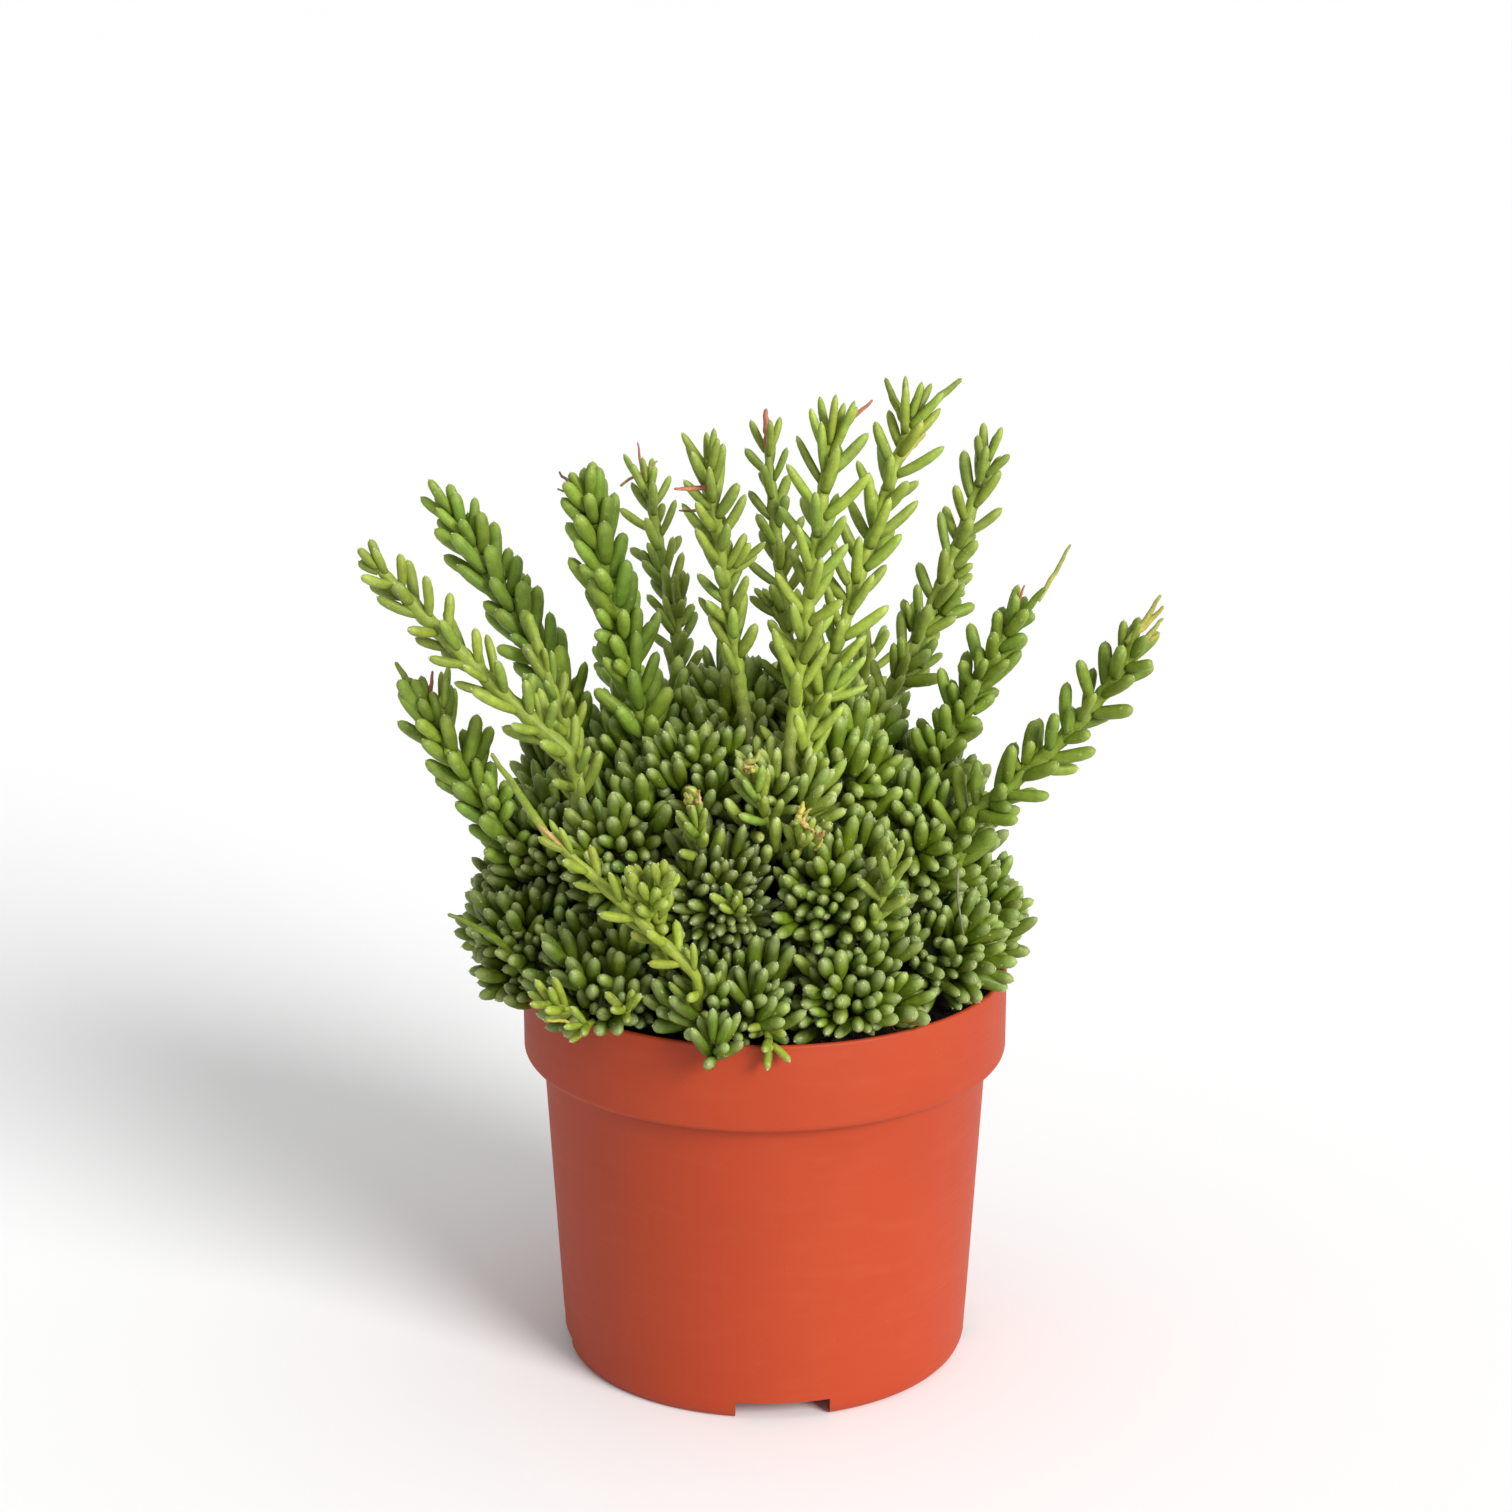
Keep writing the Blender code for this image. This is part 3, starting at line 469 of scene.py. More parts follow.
class Shader:
    """A material's node tree, with short calls for the nodes that the finishes share."""

    def __init__(self, name: str) -> None:
        """Starts a material with its one shader.

        Args:
            name: The material's name.
        """
        self.material = bpy.data.materials.new(name)
        self.material.use_nodes = True
        self.tree = self.material.node_tree
        self.skin = self.tree.nodes["Principled BSDF"]
        self.where = self.add("ShaderNodeTexCoord").outputs["Object"]

    def add(self, kind: str) -> bpy.types.Node:
        """A new node of this kind."""
        return self.tree.nodes.new(kind)

    def link(self, source: Socket, target: Socket) -> None:
        """Joins an output to an input."""
        self.tree.links.new(source, target)

    def feed(self, source: Socket, name: str) -> None:
        """Joins an output to the shader's own socket of this name."""
        self.link(source, self.skin.inputs[name])

    def set(self, **values: object) -> None:
        """Sets uniform values on the shader's own sockets, named with underscores for spaces."""
        for name, value in values.items():
            self.skin.inputs[name.replace("_", " ")].default_value = value

    def noise(self, scale: float, detail: float = 3.0, where: Socket | None = None, rough: float = 0.5) -> Socket:
        """A noise value.

        Args:
            scale: Waves per metre, or per unit of the place given.
            detail: How many finer layers it has.
            where: The place that it is read at, or the object's own place.
            rough: How strong the finer layers are.

        Returns:
            The socket of the value, from 0 to 1.
        """
        node = self.add("ShaderNodeTexNoise")
        node.inputs["Scale"].default_value = scale
        node.inputs["Detail"].default_value = detail
        node.inputs["Roughness"].default_value = rough
        self.link(where or self.where, node.inputs["Vector"])
        return node.outputs["Fac"]

    def specks(self, where: Socket, uneven: float) -> Socket:
        """The distance to the nearest of many scattered spots.

        Args:
            where: The place that it is read at, with a spot to each unit of it.
            uneven: How far the spots are from an even grid, from 0 to 1.

        Returns:
            The socket of the distance.
        """
        node = self.add("ShaderNodeTexVoronoi")
        node.inputs["Scale"].default_value = 1.0
        node.inputs["Randomness"].default_value = uneven
        self.link(where, node.inputs["Vector"])
        return node.outputs["Distance"]

    def stretched(self, scale: Spot, where: Socket | None = None) -> Socket:
        """A place, scaled along each axis.

        Args:
            scale: How many times, along each axis.
            where: The place, or the object's own place.

        Returns:
            The socket of the scaled place.
        """
        node = self.add("ShaderNodeMapping")
        node.inputs["Scale"].default_value = scale
        self.link(where or self.where, node.inputs["Vector"])
        return node.outputs["Vector"]

    def ranged(self, source: Socket, low: float, high: float, to_low: float = 0.0, to_high: float = 1.0) -> Socket:
        """A value, mapped to a new range and held within it.

        Args:
            source: The socket of the value.
            low: What becomes the new range's first end.
            high: What becomes its second end.
            to_low: The first end of the new range.
            to_high: Its second end.

        Returns:
            The socket of the new value.
        """
        node = self.add("ShaderNodeMapRange")
        for name, value in (("From Min", low), ("From Max", high), ("To Min", to_low), ("To Max", to_high)):
            node.inputs[name].default_value = value
        self.link(source, node.inputs["Value"])
        return node.outputs["Result"]

    def mixed(self, share: Socket | float, first: Socket | Rgb, second: Socket | Rgb, how: str = "MIX") -> Socket:
        """The first colour blended with the second.

        Args:
            share: How much of the second, from 0 to 1.
            first: A colour or its socket.
            second: A colour or its socket.
            how: The blend, as the mix node names it.

        Returns:
            The socket of the colour.
        """
        node = self.add("ShaderNodeMix")
        node.data_type = "RGBA"
        node.blend_type = how
        for name, value in (("Factor", share), ("A", first), ("B", second)):
            wanted = "VALUE" if name == "Factor" else "RGBA"
            socket = next(s for s in node.inputs if s.name == name and s.type == wanted)
            if isinstance(value, Socket):
                self.link(value, socket)
            else:
                socket.default_value = value if name == "Factor" else (*value, 1.0)
        return next(s for s in node.outputs if s.type == "RGBA")

    def attribute(self, name: str, output: str) -> Socket:
        """What the mesh carries at each point.

        Args:
            name: The attribute's name.
            output: The node's output that gives it.

        Returns:
            The socket of the attribute.
        """
        node = self.add("ShaderNodeAttribute")
        node.attribute_name = name
        return node.outputs[output]

    def bump(self, height: Socket, depth: float, strength: float = 1.0) -> None:
        """Adds relief over any already there.

        Args:
            height: The socket of its height, from 0 to 1.
            depth: How deep it is, in metres.
            strength: How much of it shows, from 0 to 1.
        """
        node = self.add("ShaderNodeBump")
        node.inputs["Distance"].default_value = depth
        node.inputs["Strength"].default_value = strength
        self.link(height, node.inputs["Height"])
        if self.skin.inputs["Normal"].is_linked:
            self.link(self.skin.inputs["Normal"].links[0].from_socket, node.inputs["Normal"])
        self.feed(node.outputs["Normal"], "Normal")


@dataclass(frozen=True)
class WaxySkin:
    """The skin of the stems: the colour that the mesh carries, mottled, specked and faintly ribbed."""

    name: str
    roughness: float = 0.40
    glow: float = 0.12
    mottle: float = 0.22
    speck: Rgb = (0.42, 0.47, 0.24)
    bloom: Rgb = (1.7, 1.55, 2.2)
    rib_depth: float = 0.22 * MM
    grain_depth: float = 0.05 * MM
    glow_colour: Rgb = (0.9, 1.0, 0.25)
    glow_depth: float = 1.0 * MM
    gloss: float = 0.3

    def make(self) -> Material:
        """Makes the finish.

        Returns:
            The material.
        """
        shader = Shader(self.name)
        place = shader.attribute("place", "Vector")
        fine = shader.noise(2600, 4.0, rough=0.62)
        coarse = shader.noise(420, 2.0)
        tone = shader.mixed(shader.ranged(coarse, 0.3, 0.7), (1 - self.mottle,) * 3, (1 + self.mottle,) * 3)
        colour = shader.mixed(1.0, shader.attribute("skin", "Color"), tone, "MULTIPLY")
        bloom = shader.mixed(1.0, colour, self.bloom, "MULTIPLY")
        colour = shader.mixed(shader.ranged(fine, 0.48, 0.72, 0.0, 0.55), colour, bloom)
        spots = shader.specks(shader.stretched((2.0, 3.2, 1.0), place), 0.8)
        colour = shader.mixed(shader.ranged(spots, 0.08, 0.14, 0.6, 0.0), colour, self.speck)
        shader.feed(colour, "Base Color")
        shader.feed(shader.ranged(fine, 0.3, 0.7, self.roughness - 0.07, self.roughness + 0.09), "Roughness")
        ribs = shader.noise(1.0, 2.0, shader.stretched((7.0, 0.7, 1.0), place))
        shader.bump(ribs, self.rib_depth, 0.5)
        shader.bump(fine, self.grain_depth, 0.6)
        shader.set(
            Subsurface_Weight=self.glow,
            Subsurface_Radius=self.glow_colour,
            Subsurface_Scale=self.glow_depth,
            Specular_IOR_Level=self.gloss,
        )
        return shader.material


@dataclass(frozen=True)
class Wool:
    """The pale felt of an areole."""

    name: str = "areole_wool"
    colour: Rgb = (0.56, 0.58, 0.38)
    shade: Rgb = (0.38, 0.42, 0.22)
    nap: float = 0.06 * MM

    def make(self) -> Material:
        """Makes the finish.

        Returns:
            The material.
        """
        shader = Shader(self.name)
        fine = shader.noise(5200, 3.0)
        shader.feed(shader.mixed(shader.ranged(fine, 0.3, 0.7), self.shade, self.colour), "Base Color")
        shader.bump(fine, self.nap)
        shader.set(Roughness=0.9, Sheen_Weight=0.2)
        return shader.material


@dataclass(frozen=True)
class DryFibre:
    """Dry bristles and root threads."""

    name: str
    pale: Rgb
    dark: Rgb
    grain_depth: float = 0.08 * MM

    def make(self) -> Material:
        """Makes the finish.

        Returns:
            The material.
        """
        shader = Shader(self.name)
        fine = shader.noise(1400, 3.0)
        shader.feed(shader.mixed(shader.ranged(fine, 0.35, 0.65), self.dark, self.pale), "Base Color")
        shader.bump(shader.noise(3800, 2.0), self.grain_depth)
        shader.set(Roughness=0.7)
        return shader.material


@dataclass(frozen=True)
class MouldedPlastic:
    """Satin moulded plastic, with flow marks, fine grain, dust and light scuffs."""

    name: str = "pot_plastic_satin"
    colour: Rgb = (0.420, 0.045, 0.008)
    deep: Rgb = (0.390, 0.039, 0.006)
    dust: Rgb = (0.50, 0.12, 0.05)
    smooth: float = 0.58
    scuffed: float = 0.66
    gloss: float = 0.35
    flow_depth: float = 0.10 * MM
    grain_depth: float = 0.02 * MM

    def make(self) -> Material:
        """Makes the finish.

        Returns:
            The material.
        """
        shader = Shader(self.name)
        broad = shader.noise(22, 3.0)
        flow = shader.noise(60, 4.0, shader.stretched((1.0, 1.0, 5.0)), 0.6)
        grain = shader.noise(5200, 3.0)
        colour = shader.mixed(shader.ranged(broad, 0.3, 0.7), self.deep, self.colour)
        colour = shader.mixed(shader.ranged(flow, 0.5, 0.8, 0.0, 0.10), colour, self.dust)
        motes = shader.ranged(shader.noise(900, 2.0), 0.70, 0.78, 0.0, 0.25)
        shader.feed(shader.mixed(motes, colour, self.dust), "Base Color")
        scuffs = shader.noise(1.0, 3.0, shader.stretched((90, 90, 2400)), 0.6)
        rough = shader.mixed(shader.ranged(scuffs, 0.5, 0.75), (self.smooth,) * 3, (self.scuffed,) * 3)
        shader.feed(rough, "Roughness")
        shader.bump(flow, self.flow_depth, 0.5)
        shader.bump(grain, self.grain_depth, 0.6)
        shader.bump(scuffs, self.grain_depth, 0.4)
        shader.set(Specular_IOR_Level=self.gloss)
        return shader.material


@dataclass(frozen=True)
class Peat:
    """Dark fibrous potting mix."""

    name: str = "potting_mix_peat"
    black: Rgb = (0.008, 0.005, 0.004)
    brown: Rgb = (0.050, 0.030, 0.018)
    grit: Rgb = (0.115, 0.070, 0.040)
    clod_depth: float = 1.0 * MM
    grit_depth: float = 0.3 * MM

    def make(self) -> Material:
        """Makes the finish.

        Returns:
            The material.
        """
        shader = Shader(self.name)
        clods = shader.noise(500, 6.0, rough=0.7)
        grit = shader.noise(2600, 4.0, rough=0.7)
        colour = shader.mixed(shader.ranged(clods, 0.3, 0.7), self.black, self.brown)
        shader.feed(shader.mixed(shader.ranged(grit, 0.6, 0.75, 0.0, 0.6), colour, self.grit), "Base Color")
        shader.bump(clods, self.clod_depth)
        shader.bump(grit, self.grit_depth)
        shader.set(Roughness=0.95)
        return shader.material


@dataclass(frozen=True)
class Backdrop:
    """The pale floor."""

    name: str = "pale_floor"
    colour: Rgb = (0.90, 0.90, 0.90)
    shade: Rgb = (0.895, 0.895, 0.895)

    def make(self) -> Material:
        """Makes the finish.

        Returns:
            The material.
        """
        shader = Shader(self.name)
        tone = shader.ranged(shader.noise(3.0, 2.0), 0.3, 0.7)
        shader.feed(shader.mixed(tone, self.shade, self.colour), "Base Color")
        shader.set(Roughness=0.9, Specular_IOR_Level=0.1)
        return shader.material


class Matter(Enum):
    """Which of a plant piece's finishes a face has, by its place in the piece's slots."""

    SKIN = 0
    WOOL = 1
    BRISTLE = 2


def tube_faces(rings: int, sides: int) -> Faces:
    """The faces of a tube of rings, closed by a flat start and a point at its end.

    Args:
        rings: How many rings it has.
        sides: How many points each ring has.

    Returns:
        The faces, where the end's point comes after those of the rings.
    """
    faces: Faces = [tuple(reversed(range(sides)))]
    for ring in range(rings - 1):
        for side in range(sides):
            following = (side + 1) % sides
            low, high = ring * sides, (ring + 1) * sides
            faces.append((low + side, low + following, high + following, high + side))
    last = (rings - 1) * sides
    faces += [(last + side, last + (side + 1) % sides, rings * sides) for side in range(sides)]
    return faces


# Every form of segment has the same rings, so all segments share one list of faces
SEGMENT_SIDES = 9
SEGMENT_RINGS = len(Form.BERRY.value)
SEGMENT_FACES = tube_faces(SEGMENT_RINGS, SEGMENT_SIDES)

# A segment's skin pales from this share of its length over the next (wax bloom and painted highlight), and is this much
# darker at its root
TIP_FROM, TIP_OVER = 0.66, 0.32
ROOT_DARKER, ROOT_OVER = 0.25, 0.3


class Sprout:
    """One piece of the plant while it grows: points, faces, and the colour and place that its skin reads."""

    def __init__(self, name: str) -> None:
        """Starts with nothing grown.

        Args:
            name: The object's name.
        """
        self.name = name
        self.points: list[Array] = []
        self.skins: list[Array] = []
        self.places: list[Array] = []
        self.faces: Faces = []
        self.matters: list[int] = []
        self.count = 0

    def add(self, points: Array, faces: Faces, skins: Array, places: Array, matter: Matter = Matter.SKIN) -> None:
        """Adds a closed shape.

        Args:
            points: Its points, in metres.
            faces: Its faces, counted from its own first point.
            skins: A colour for each point.
            places: Round, along and seed for each point.
            matter: Which finish it has.
        """
        self.points.append(points)
        self.skins.append(skins)
        self.places.append(places)
        self.faces.extend(tuple(corner + self.count for corner in face) for face in faces)
        self.matters.extend([matter.value] * len(faces))
        self.count += len(points)

    def tube(self, points: Array, radii: Array, skins: Array, seed: float, sides: int = 10) -> None:
        """Adds a round stem along a course.

        Args:
            points: Its course, root first.
            radii: Its radius at each point of the course.
            skins: Its colour at each point of the course.
            seed: Sets its skin apart from others.
            sides: How many sides it has.
        """
        ways = np.gradient(points, axis=0)
        ways = ways / np.linalg.norm(ways, axis=1, keepdims=True)
        across = side_of(ways[0], seed)
        turns = np.arange(sides) * math.tau / sides
        rings = []
        for centre, way, radius in zip(points, ways, radii):
            across = unit(across - (way @ across) * way)
            second = np.cross(way, across)
            rings.append(centre + radius * (np.cos(turns)[:, None] * across + np.sin(turns)[:, None] * second))
        end = points[-1] + ways[-1] * radii[-1]
        along = travelled(points)
        rounds = np.append(np.tile(np.abs(2 * np.arange(sides) / sides - 1), len(points)), 0.0)
        lengths = np.append(np.repeat(along, sides), along[-1]) / SKIN_UNIT
        places = np.column_stack([rounds + seed, lengths, np.full(len(rounds), seed)])
        colours = np.vstack([np.repeat(skins, sides, axis=0), skins[-1:]])
        self.add(np.vstack([*rings, end[None]]), tube_faces(len(points), sides), colours, places)

    def build(self, materials: Sequence[Material]) -> Piece:
        """Makes the object, smooth-shaded, with its point colours and places.

        Args:
            materials: Its finishes, in the order of Matter.

        Returns:
            The object.
        """
        mesh = bpy.data.meshes.new(self.name)
        mesh.from_pydata(np.vstack(self.points).tolist(), [], self.faces)
        for material in materials:
            mesh.materials.append(material)
        mesh.polygons.foreach_set("material_index", self.matters)
        skin = mesh.attributes.new("skin", "FLOAT_COLOR", "POINT")
        colours = np.vstack(self.skins)
        skin.data.foreach_set("color", np.hstack([colours, np.ones((len(colours), 1))]).ravel())
        place = mesh.attributes.new("place", "FLOAT_VECTOR", "POINT")
        place.data.foreach_set("vector", np.vstack(self.places).ravel())
        mesh.shade_smooth()
        return placed(self.name, mesh)


@dataclass
class Segment:
    """One stem segment, in metres, with a unit heading and the colours of its skin and tip; the tip's paler colour is
    partly wax bloom and partly painted highlight.

    The bend is how far its tip is off the straight line. The seed sets its skin apart from others, the twist
    turns it round its own length, and flat is its thickness as a share of its width.
    """

    root: Array
    heading: Array
    length: float
    width: float
    form: Form
    skin: Array
    bend: Array
    tip_skin_and_highlight: Array
    seed: float
    twist: float = 0.0
    flat: float = 0.88

    @property
    def tip(self) -> Array:
        """Where it ends."""
        return self.at(1.0)

    def at(self, share: float) -> Array:
        """The middle of the segment at a share of its length."""
        return self.root + self.heading * share * self.length + self.bend * share**2

    def half_width(self, share: float) -> float:
        """The half-width of the segment at a share of its length."""
        outline = np.array(self.form.value)
        return 0.5 * self.width * float(np.interp(share, outline[:, 0], outline[:, 1]))

    def grow(self, sprout: Sprout) -> None:
        """Adds the segment to a piece.

        Args:
            sprout: The piece.
        """
        outline = np.array(self.form.value)
        along, girth = outline[:, 0:1], outline[:, 1:2]
        centres = self.root + self.heading * along * self.length + self.bend * along**2
        ways = self.heading * self.length + 2 * self.bend * along
        ways = ways / np.linalg.norm(ways, axis=1, keepdims=True)
        across = side_of(self.heading, self.twist)
        first = across - (ways @ across)[:, None] * ways
        first = first / np.linalg.norm(first, axis=1, keepdims=True)
        second = np.cross(ways, first) * self.flat
        turns = np.arange(SEGMENT_SIDES) * math.tau / SEGMENT_SIDES
        ring = np.cos(turns)[None, :, None] * first[:, None] + np.sin(turns)[None, :, None] * second[:, None]
        points = centres[:, None] + ring * (0.5 * self.width * girth)[:, None]
        points = np.vstack([points.reshape(-1, 3), self.tip[None]])
        shares = np.append(np.repeat(along[:, 0], SEGMENT_SIDES), 1.0)[:, None]
        # The tip's paling is partly wax bloom and partly painted highlight
        frost_and_highlight_share = np.clip((shares - TIP_FROM) / TIP_OVER, 0, 1) ** 1.5
        root_share = np.clip(1 - shares / ROOT_OVER, 0, 1)
        skins = self.skin * (1 - ROOT_DARKER * root_share)
        skins = skins * (1 - frost_and_highlight_share) + self.tip_skin_and_highlight * frost_and_highlight_share
        rounds = np.append(np.tile(np.arange(SEGMENT_SIDES) / SEGMENT_SIDES, SEGMENT_RINGS), 0.0)
        rounds = np.abs(2 * rounds - 1) + self.seed
        places = np.column_stack([rounds, shares[:, 0] * self.length / SKIN_UNIT, np.full(len(rounds), self.seed)])
        sprout.add(points, SEGMENT_FACES, skins, places)


def smooth_course(points: Array, step: float) -> Array:
    """A course through the points, rounded and evenly spaced.

    Args:
        points: The points that it passes.
        step: How far apart its own points are, in metres.

    Returns:
        The points of the rounded course.
    """
    along = travelled(points)
    places = np.linspace(0, along[-1], max(4, int(along[-1] / step)))
    course = np.column_stack([np.interp(places, along, points[:, axis]) for axis in range(3)])
    for _ in range(12):
        course[1:-1] = 0.25 * course[:-2] + 0.5 * course[1:-1] + 0.25 * course[2:]
    return course


def index_below(course: Array, down: float) -> int:
    """The point of a course that is this far below its end.

    Args:
        course: Its points, root first.
        down: How far below, in metres.

    Returns:
        The point's number, neither the first nor the last.
    """
    along = travelled(course)
    index = int(np.searchsorted(along, along[-1] - down))
    return min(max(index, 1), len(course) - 2)


class Route:
    """A stem's course from the bottom of its hole, up through the cushion."""

    STATIONS: int = 9
    FIXED: int = 2
    STRAIGHT: float = 2 * MM

    def __init__(self, name: str, root: Array, neck: Array, heading: Array, radius: float) -> None:
        """Plans the course before the stems are moved apart.

        Args:
            name: The shoot or head that it carries.
            root: Its place on the soil, across and deep.
            neck: Where it ends.
            heading: The way that it goes there.
            radius: The radius of the stem.
        """
        self.name = name
        self.radius = radius
        self.neck = neck
        self.heading = heading
        self.points = self.rise(root[:2])

    def rise(self, spot: Array) -> Array:
        """The course straight out of the soil, then in one bend to the neck.

        Args:
            spot: Its place on the soil, across and deep.

        Returns:
            The points of the course.
        """
        low = np.array([*spot, SOIL_EDGE - HOLE_DEPTH + GAP])
        start = np.array([*spot, SOIL_CROWN + self.STRAIGHT])
        reach = np.linalg.norm(self.neck - start) / 3
        lift = start + np.array([0, 0, reach])
        lead = self.neck - self.heading * reach
        steps = np.linspace(0, 1, self.STATIONS - 1)[:, None]
        bend = (
            (1 - steps) ** 3 * start
            + 3 * (1 - steps) ** 2 * steps * lift
            + 3 * (1 - steps) * steps**2 * lead
            + steps**3 * self.neck
        )
        return np.vstack([low, bend])


def push(points: Array, obstacles: Array, wanted: Array) -> Array:
    """Moves points away from the obstacles that they are too near.

    Args:
        points: The points.
        obstacles: What they keep away from.
        wanted: The distance wanted between each point and each obstacle.

    Returns:
        The sum of each point's moves.
    """
    apart = points[:, None] - obstacles[None]
    distance = np.linalg.norm(apart, axis=2)
    short = np.clip(wanted - distance, 0, None) / np.maximum(distance, 0.01 * MM)
    return (apart * short[..., None]).sum(axis=1)


@dataclass
class Roots:
    """The stems under the cushion: their spots on the soil, and the ways that they bend clear.

    The root of a head's stalk is a share of the way out to the head, less for a high one.
    """

    spacing: float = 6.4 * MM
    farthest: float = 49 * MM
    margin: float = 1.2 * MM
    stalk: float = 1.7 * MM
    low_elevation: float = 15
    low_root: float = 0.84
    high_root: float = 0.62
    slack: float = 1.25
    stem_push: float = 0.15
    core_push: float = 0.6
    evening: float = 0.25
    spread_turns: int = 200
    bend_turns: int = 160

    def plan(self, centres: dict[str, Array]) -> dict[str, Route]:
        """Lays the course of every stem.

        Args:
            centres: The middle of each head, by its name.

        Returns:
            The courses, by the name of the shoot or head.
        """
        routes = []
        for shoot in SHOOTS:
            neck = np.array(shoot.neck) * MM
            heading = unit(np.array(shoot.tip) * MM - neck)
            routes.append(Route(shoot.name, np.array(shoot.root) * MM, neck, heading, shoot.radius * MM))
        for head in HEADS:
            centre = centres[head.name]
            outward = self.low_root if head.elevation < self.low_elevation else self.high_root
            routes.append(Route(head.name, centre * outward, centre, facing_of(head), self.stalk))
        self.spread(routes)
        self.bend(routes, [(head.name, centres[head.name], CORE_SHARE * head.reach * MM) for head in HEADS])
        return {route.name: route for route in routes}

    def spread(self, routes: Sequence[Route]) -> None:
        """Moves the spots on the soil apart until each stem has its own.

        Args:
            routes: The courses of the stems.
        """
        spots = np.array([route.points[0][:2] for route in routes])
        for _ in range(self.spread_turns):
            apart = spots[:, None] - spots[None]
            distance = np.linalg.norm(apart, axis=2) + np.eye(len(spots))
            short = np.clip(self.spacing - distance, 0, None) / distance
            np.fill_diagonal(short, 0)
            spots = spots + 0.5 * (apart * short[..., None]).sum(axis=1)
            spots = spots * np.minimum(1, self.farthest / np.linalg.norm(spots, axis=1))[:, None]
        for route, spot in zip(routes, spots):
            route.points = route.rise(spot)

    def bend(self, routes: Sequence[Route], cores: Sequence[tuple[str, Array, float]]) -> None:
        """Bends the stems clear of each other and of the other heads.

        Args:
            routes: The courses of the stems.
            cores: The name, middle and radius of each head's core.
        """
        points = np.array([route.points for route in routes])
        count, stations = points.shape[:2]
        owner = np.repeat(np.arange(count), stations)
        radii = np.repeat([route.radius for route in routes], stations)
        wanted = self.slack * (radii[:, None] + radii[None] + self.margin)
        wanted[owner[:, None] == owner[None]] = 0
        names = np.array([route.name for route in routes])[owner]
        centres = np.array([centre for _, centre, _ in cores])
        kept_out = np.array([radius for _, _, radius in cores])[None] + radii[:, None] + self.margin
        kept_out[names[:, None] == np.array([name for name, _, _ in cores])[None]] = 0
        free = np.zeros((stations, 1))
        free[Route.FIXED : -1] = 1.0
        for _ in range(self.bend_turns):
            flat = points.reshape(-1, 3)
            move = self.stem_push * push(flat, flat, wanted) + self.core_push * push(flat, centres, kept_out)
            points = points + move.reshape(points.shape) * free
            evened = 0.5 * (points[:, :-2] + points[:, 2:]) - points[:, 1:-1]
            points[:, 1:-1] += self.evening * evened * free[1:-1]
        for route, course in zip(routes, points):
            route.points = course


class Crowd:
    """Every capsule placed so far, so that a new segment can be kept clear of its neighbours."""

    CELL: float = 7 * MM
    LONGEST: float = 5 * MM
    FAR: float = 1.0
    CHECKED: tuple[float, ...] = (0.92, 0.7, 0.45)
    HELD_FROM: float = 0.35
    HELD_TO: float = 0.9
    HELD_RADIUS: float = 0.42

    def __init__(self) -> None:
        """Starts empty."""
        self.cells: dict[tuple[int, int, int], list[tuple[float, ...]]] = defaultdict(list)

    def cell_of(self, point: Array) -> tuple[int, int, int]:
        """The cell that a point is in."""
        across, deep, high = np.floor(point / self.CELL).astype(int)
        return int(across), int(deep), int(high)

    def add(self, start: Array, end: Array, radius: float) -> None:
        """Notes a capsule, in short pieces.

        Args:
            start: The middle of its one end.
            end: The middle of its other end.
            radius: Its radius.
        """
        pieces = max(1, math.ceil(float(np.linalg.norm(end - start)) / self.LONGEST))
        for number in range(pieces):
            low = start + (end - start) * number / pieces
            high = start + (end - start) * (number + 1) / pieces
            self.cells[self.cell_of(0.5 * (low + high))].append((*low, *high, radius))

    def room(self, point: Array) -> float:
        """How much room there is round a point.

        Args:
            point: The point.

        Returns:
            How far it is from the nearest capsule's surface, or FAR when none is near.
        """
        across, deep, high = self.cell_of(point)
        near: list[tuple[float, ...]] = []
        for i in (across - 1, across, across + 1):
            for j in (deep - 1, deep, deep + 1):
                for k in (high - 1, high, high + 1):
                    near.extend(self.cells.get((i, j, k), ()))
        if not near:
            return self.FAR
        table = np.array(near)
        along = table[:, 3:6] - table[:, 0:3]
        offsets = point - table[:, 0:3]
        place = np.clip((offsets * along).sum(axis=1) / np.maximum((along**2).sum(axis=1), 1e-12), 0, 1)
        return float((np.linalg.norm(offsets - along * place[:, None], axis=1) - table[:, 6]).min())

    def fits(self, segment: Segment, squeeze: float) -> bool:
        """Whether a segment has room among the others and clear of the pot.

        Args:
            segment: The segment.
            squeeze: The share of its half-width that it may press into others.

        Returns:
            True when it fits.
        """
        for share in self.CHECKED:
            point, radius = segment.at(share), segment.half_width(share)
            if not clear_of_pot(point, radius) or self.room(point) < radius * (1 - squeeze):
                return False
        return True

    def hold(self, segment: Segment) -> None:
        """Notes a segment."""
        self.add(segment.at(self.HELD_FROM), segment.at(self.HELD_TO), self.HELD_RADIUS * segment.width)


def clear_of_pot(point: Array, radius: float) -> bool:
    """Whether a ball is above the rim, outside it, or inside it over the soil.

    Args:
        point: The middle of the ball.
        radius: Its radius.

    Returns:
        True when it touches neither the pot nor the soil.
    """
    outward = math.hypot(point[0], point[1])
    if point[2] > POT_HEIGHT + radius + GAP:
        return True
    if outward > RIM_RADIUS + radius + GAP:
        return True
    return outward < RIM_RADIUS - WALL - radius - GAP and point[2] > SOIL_CROWN + radius + GAP


def facing_of(head: Head) -> Array:
    """The way that a head faces."""
    around, rise = math.radians(head.azimuth), math.radians(head.elevation)
    return np.array([math.sin(around) * math.cos(rise), -math.cos(around) * math.cos(rise), math.sin(rise)])


def centre_of(head: Head) -> Array:
    """The middle of a head's core."""
    return DOME_CENTRE + (DOME_AXES - head.reach * MM) * facing_of(head)


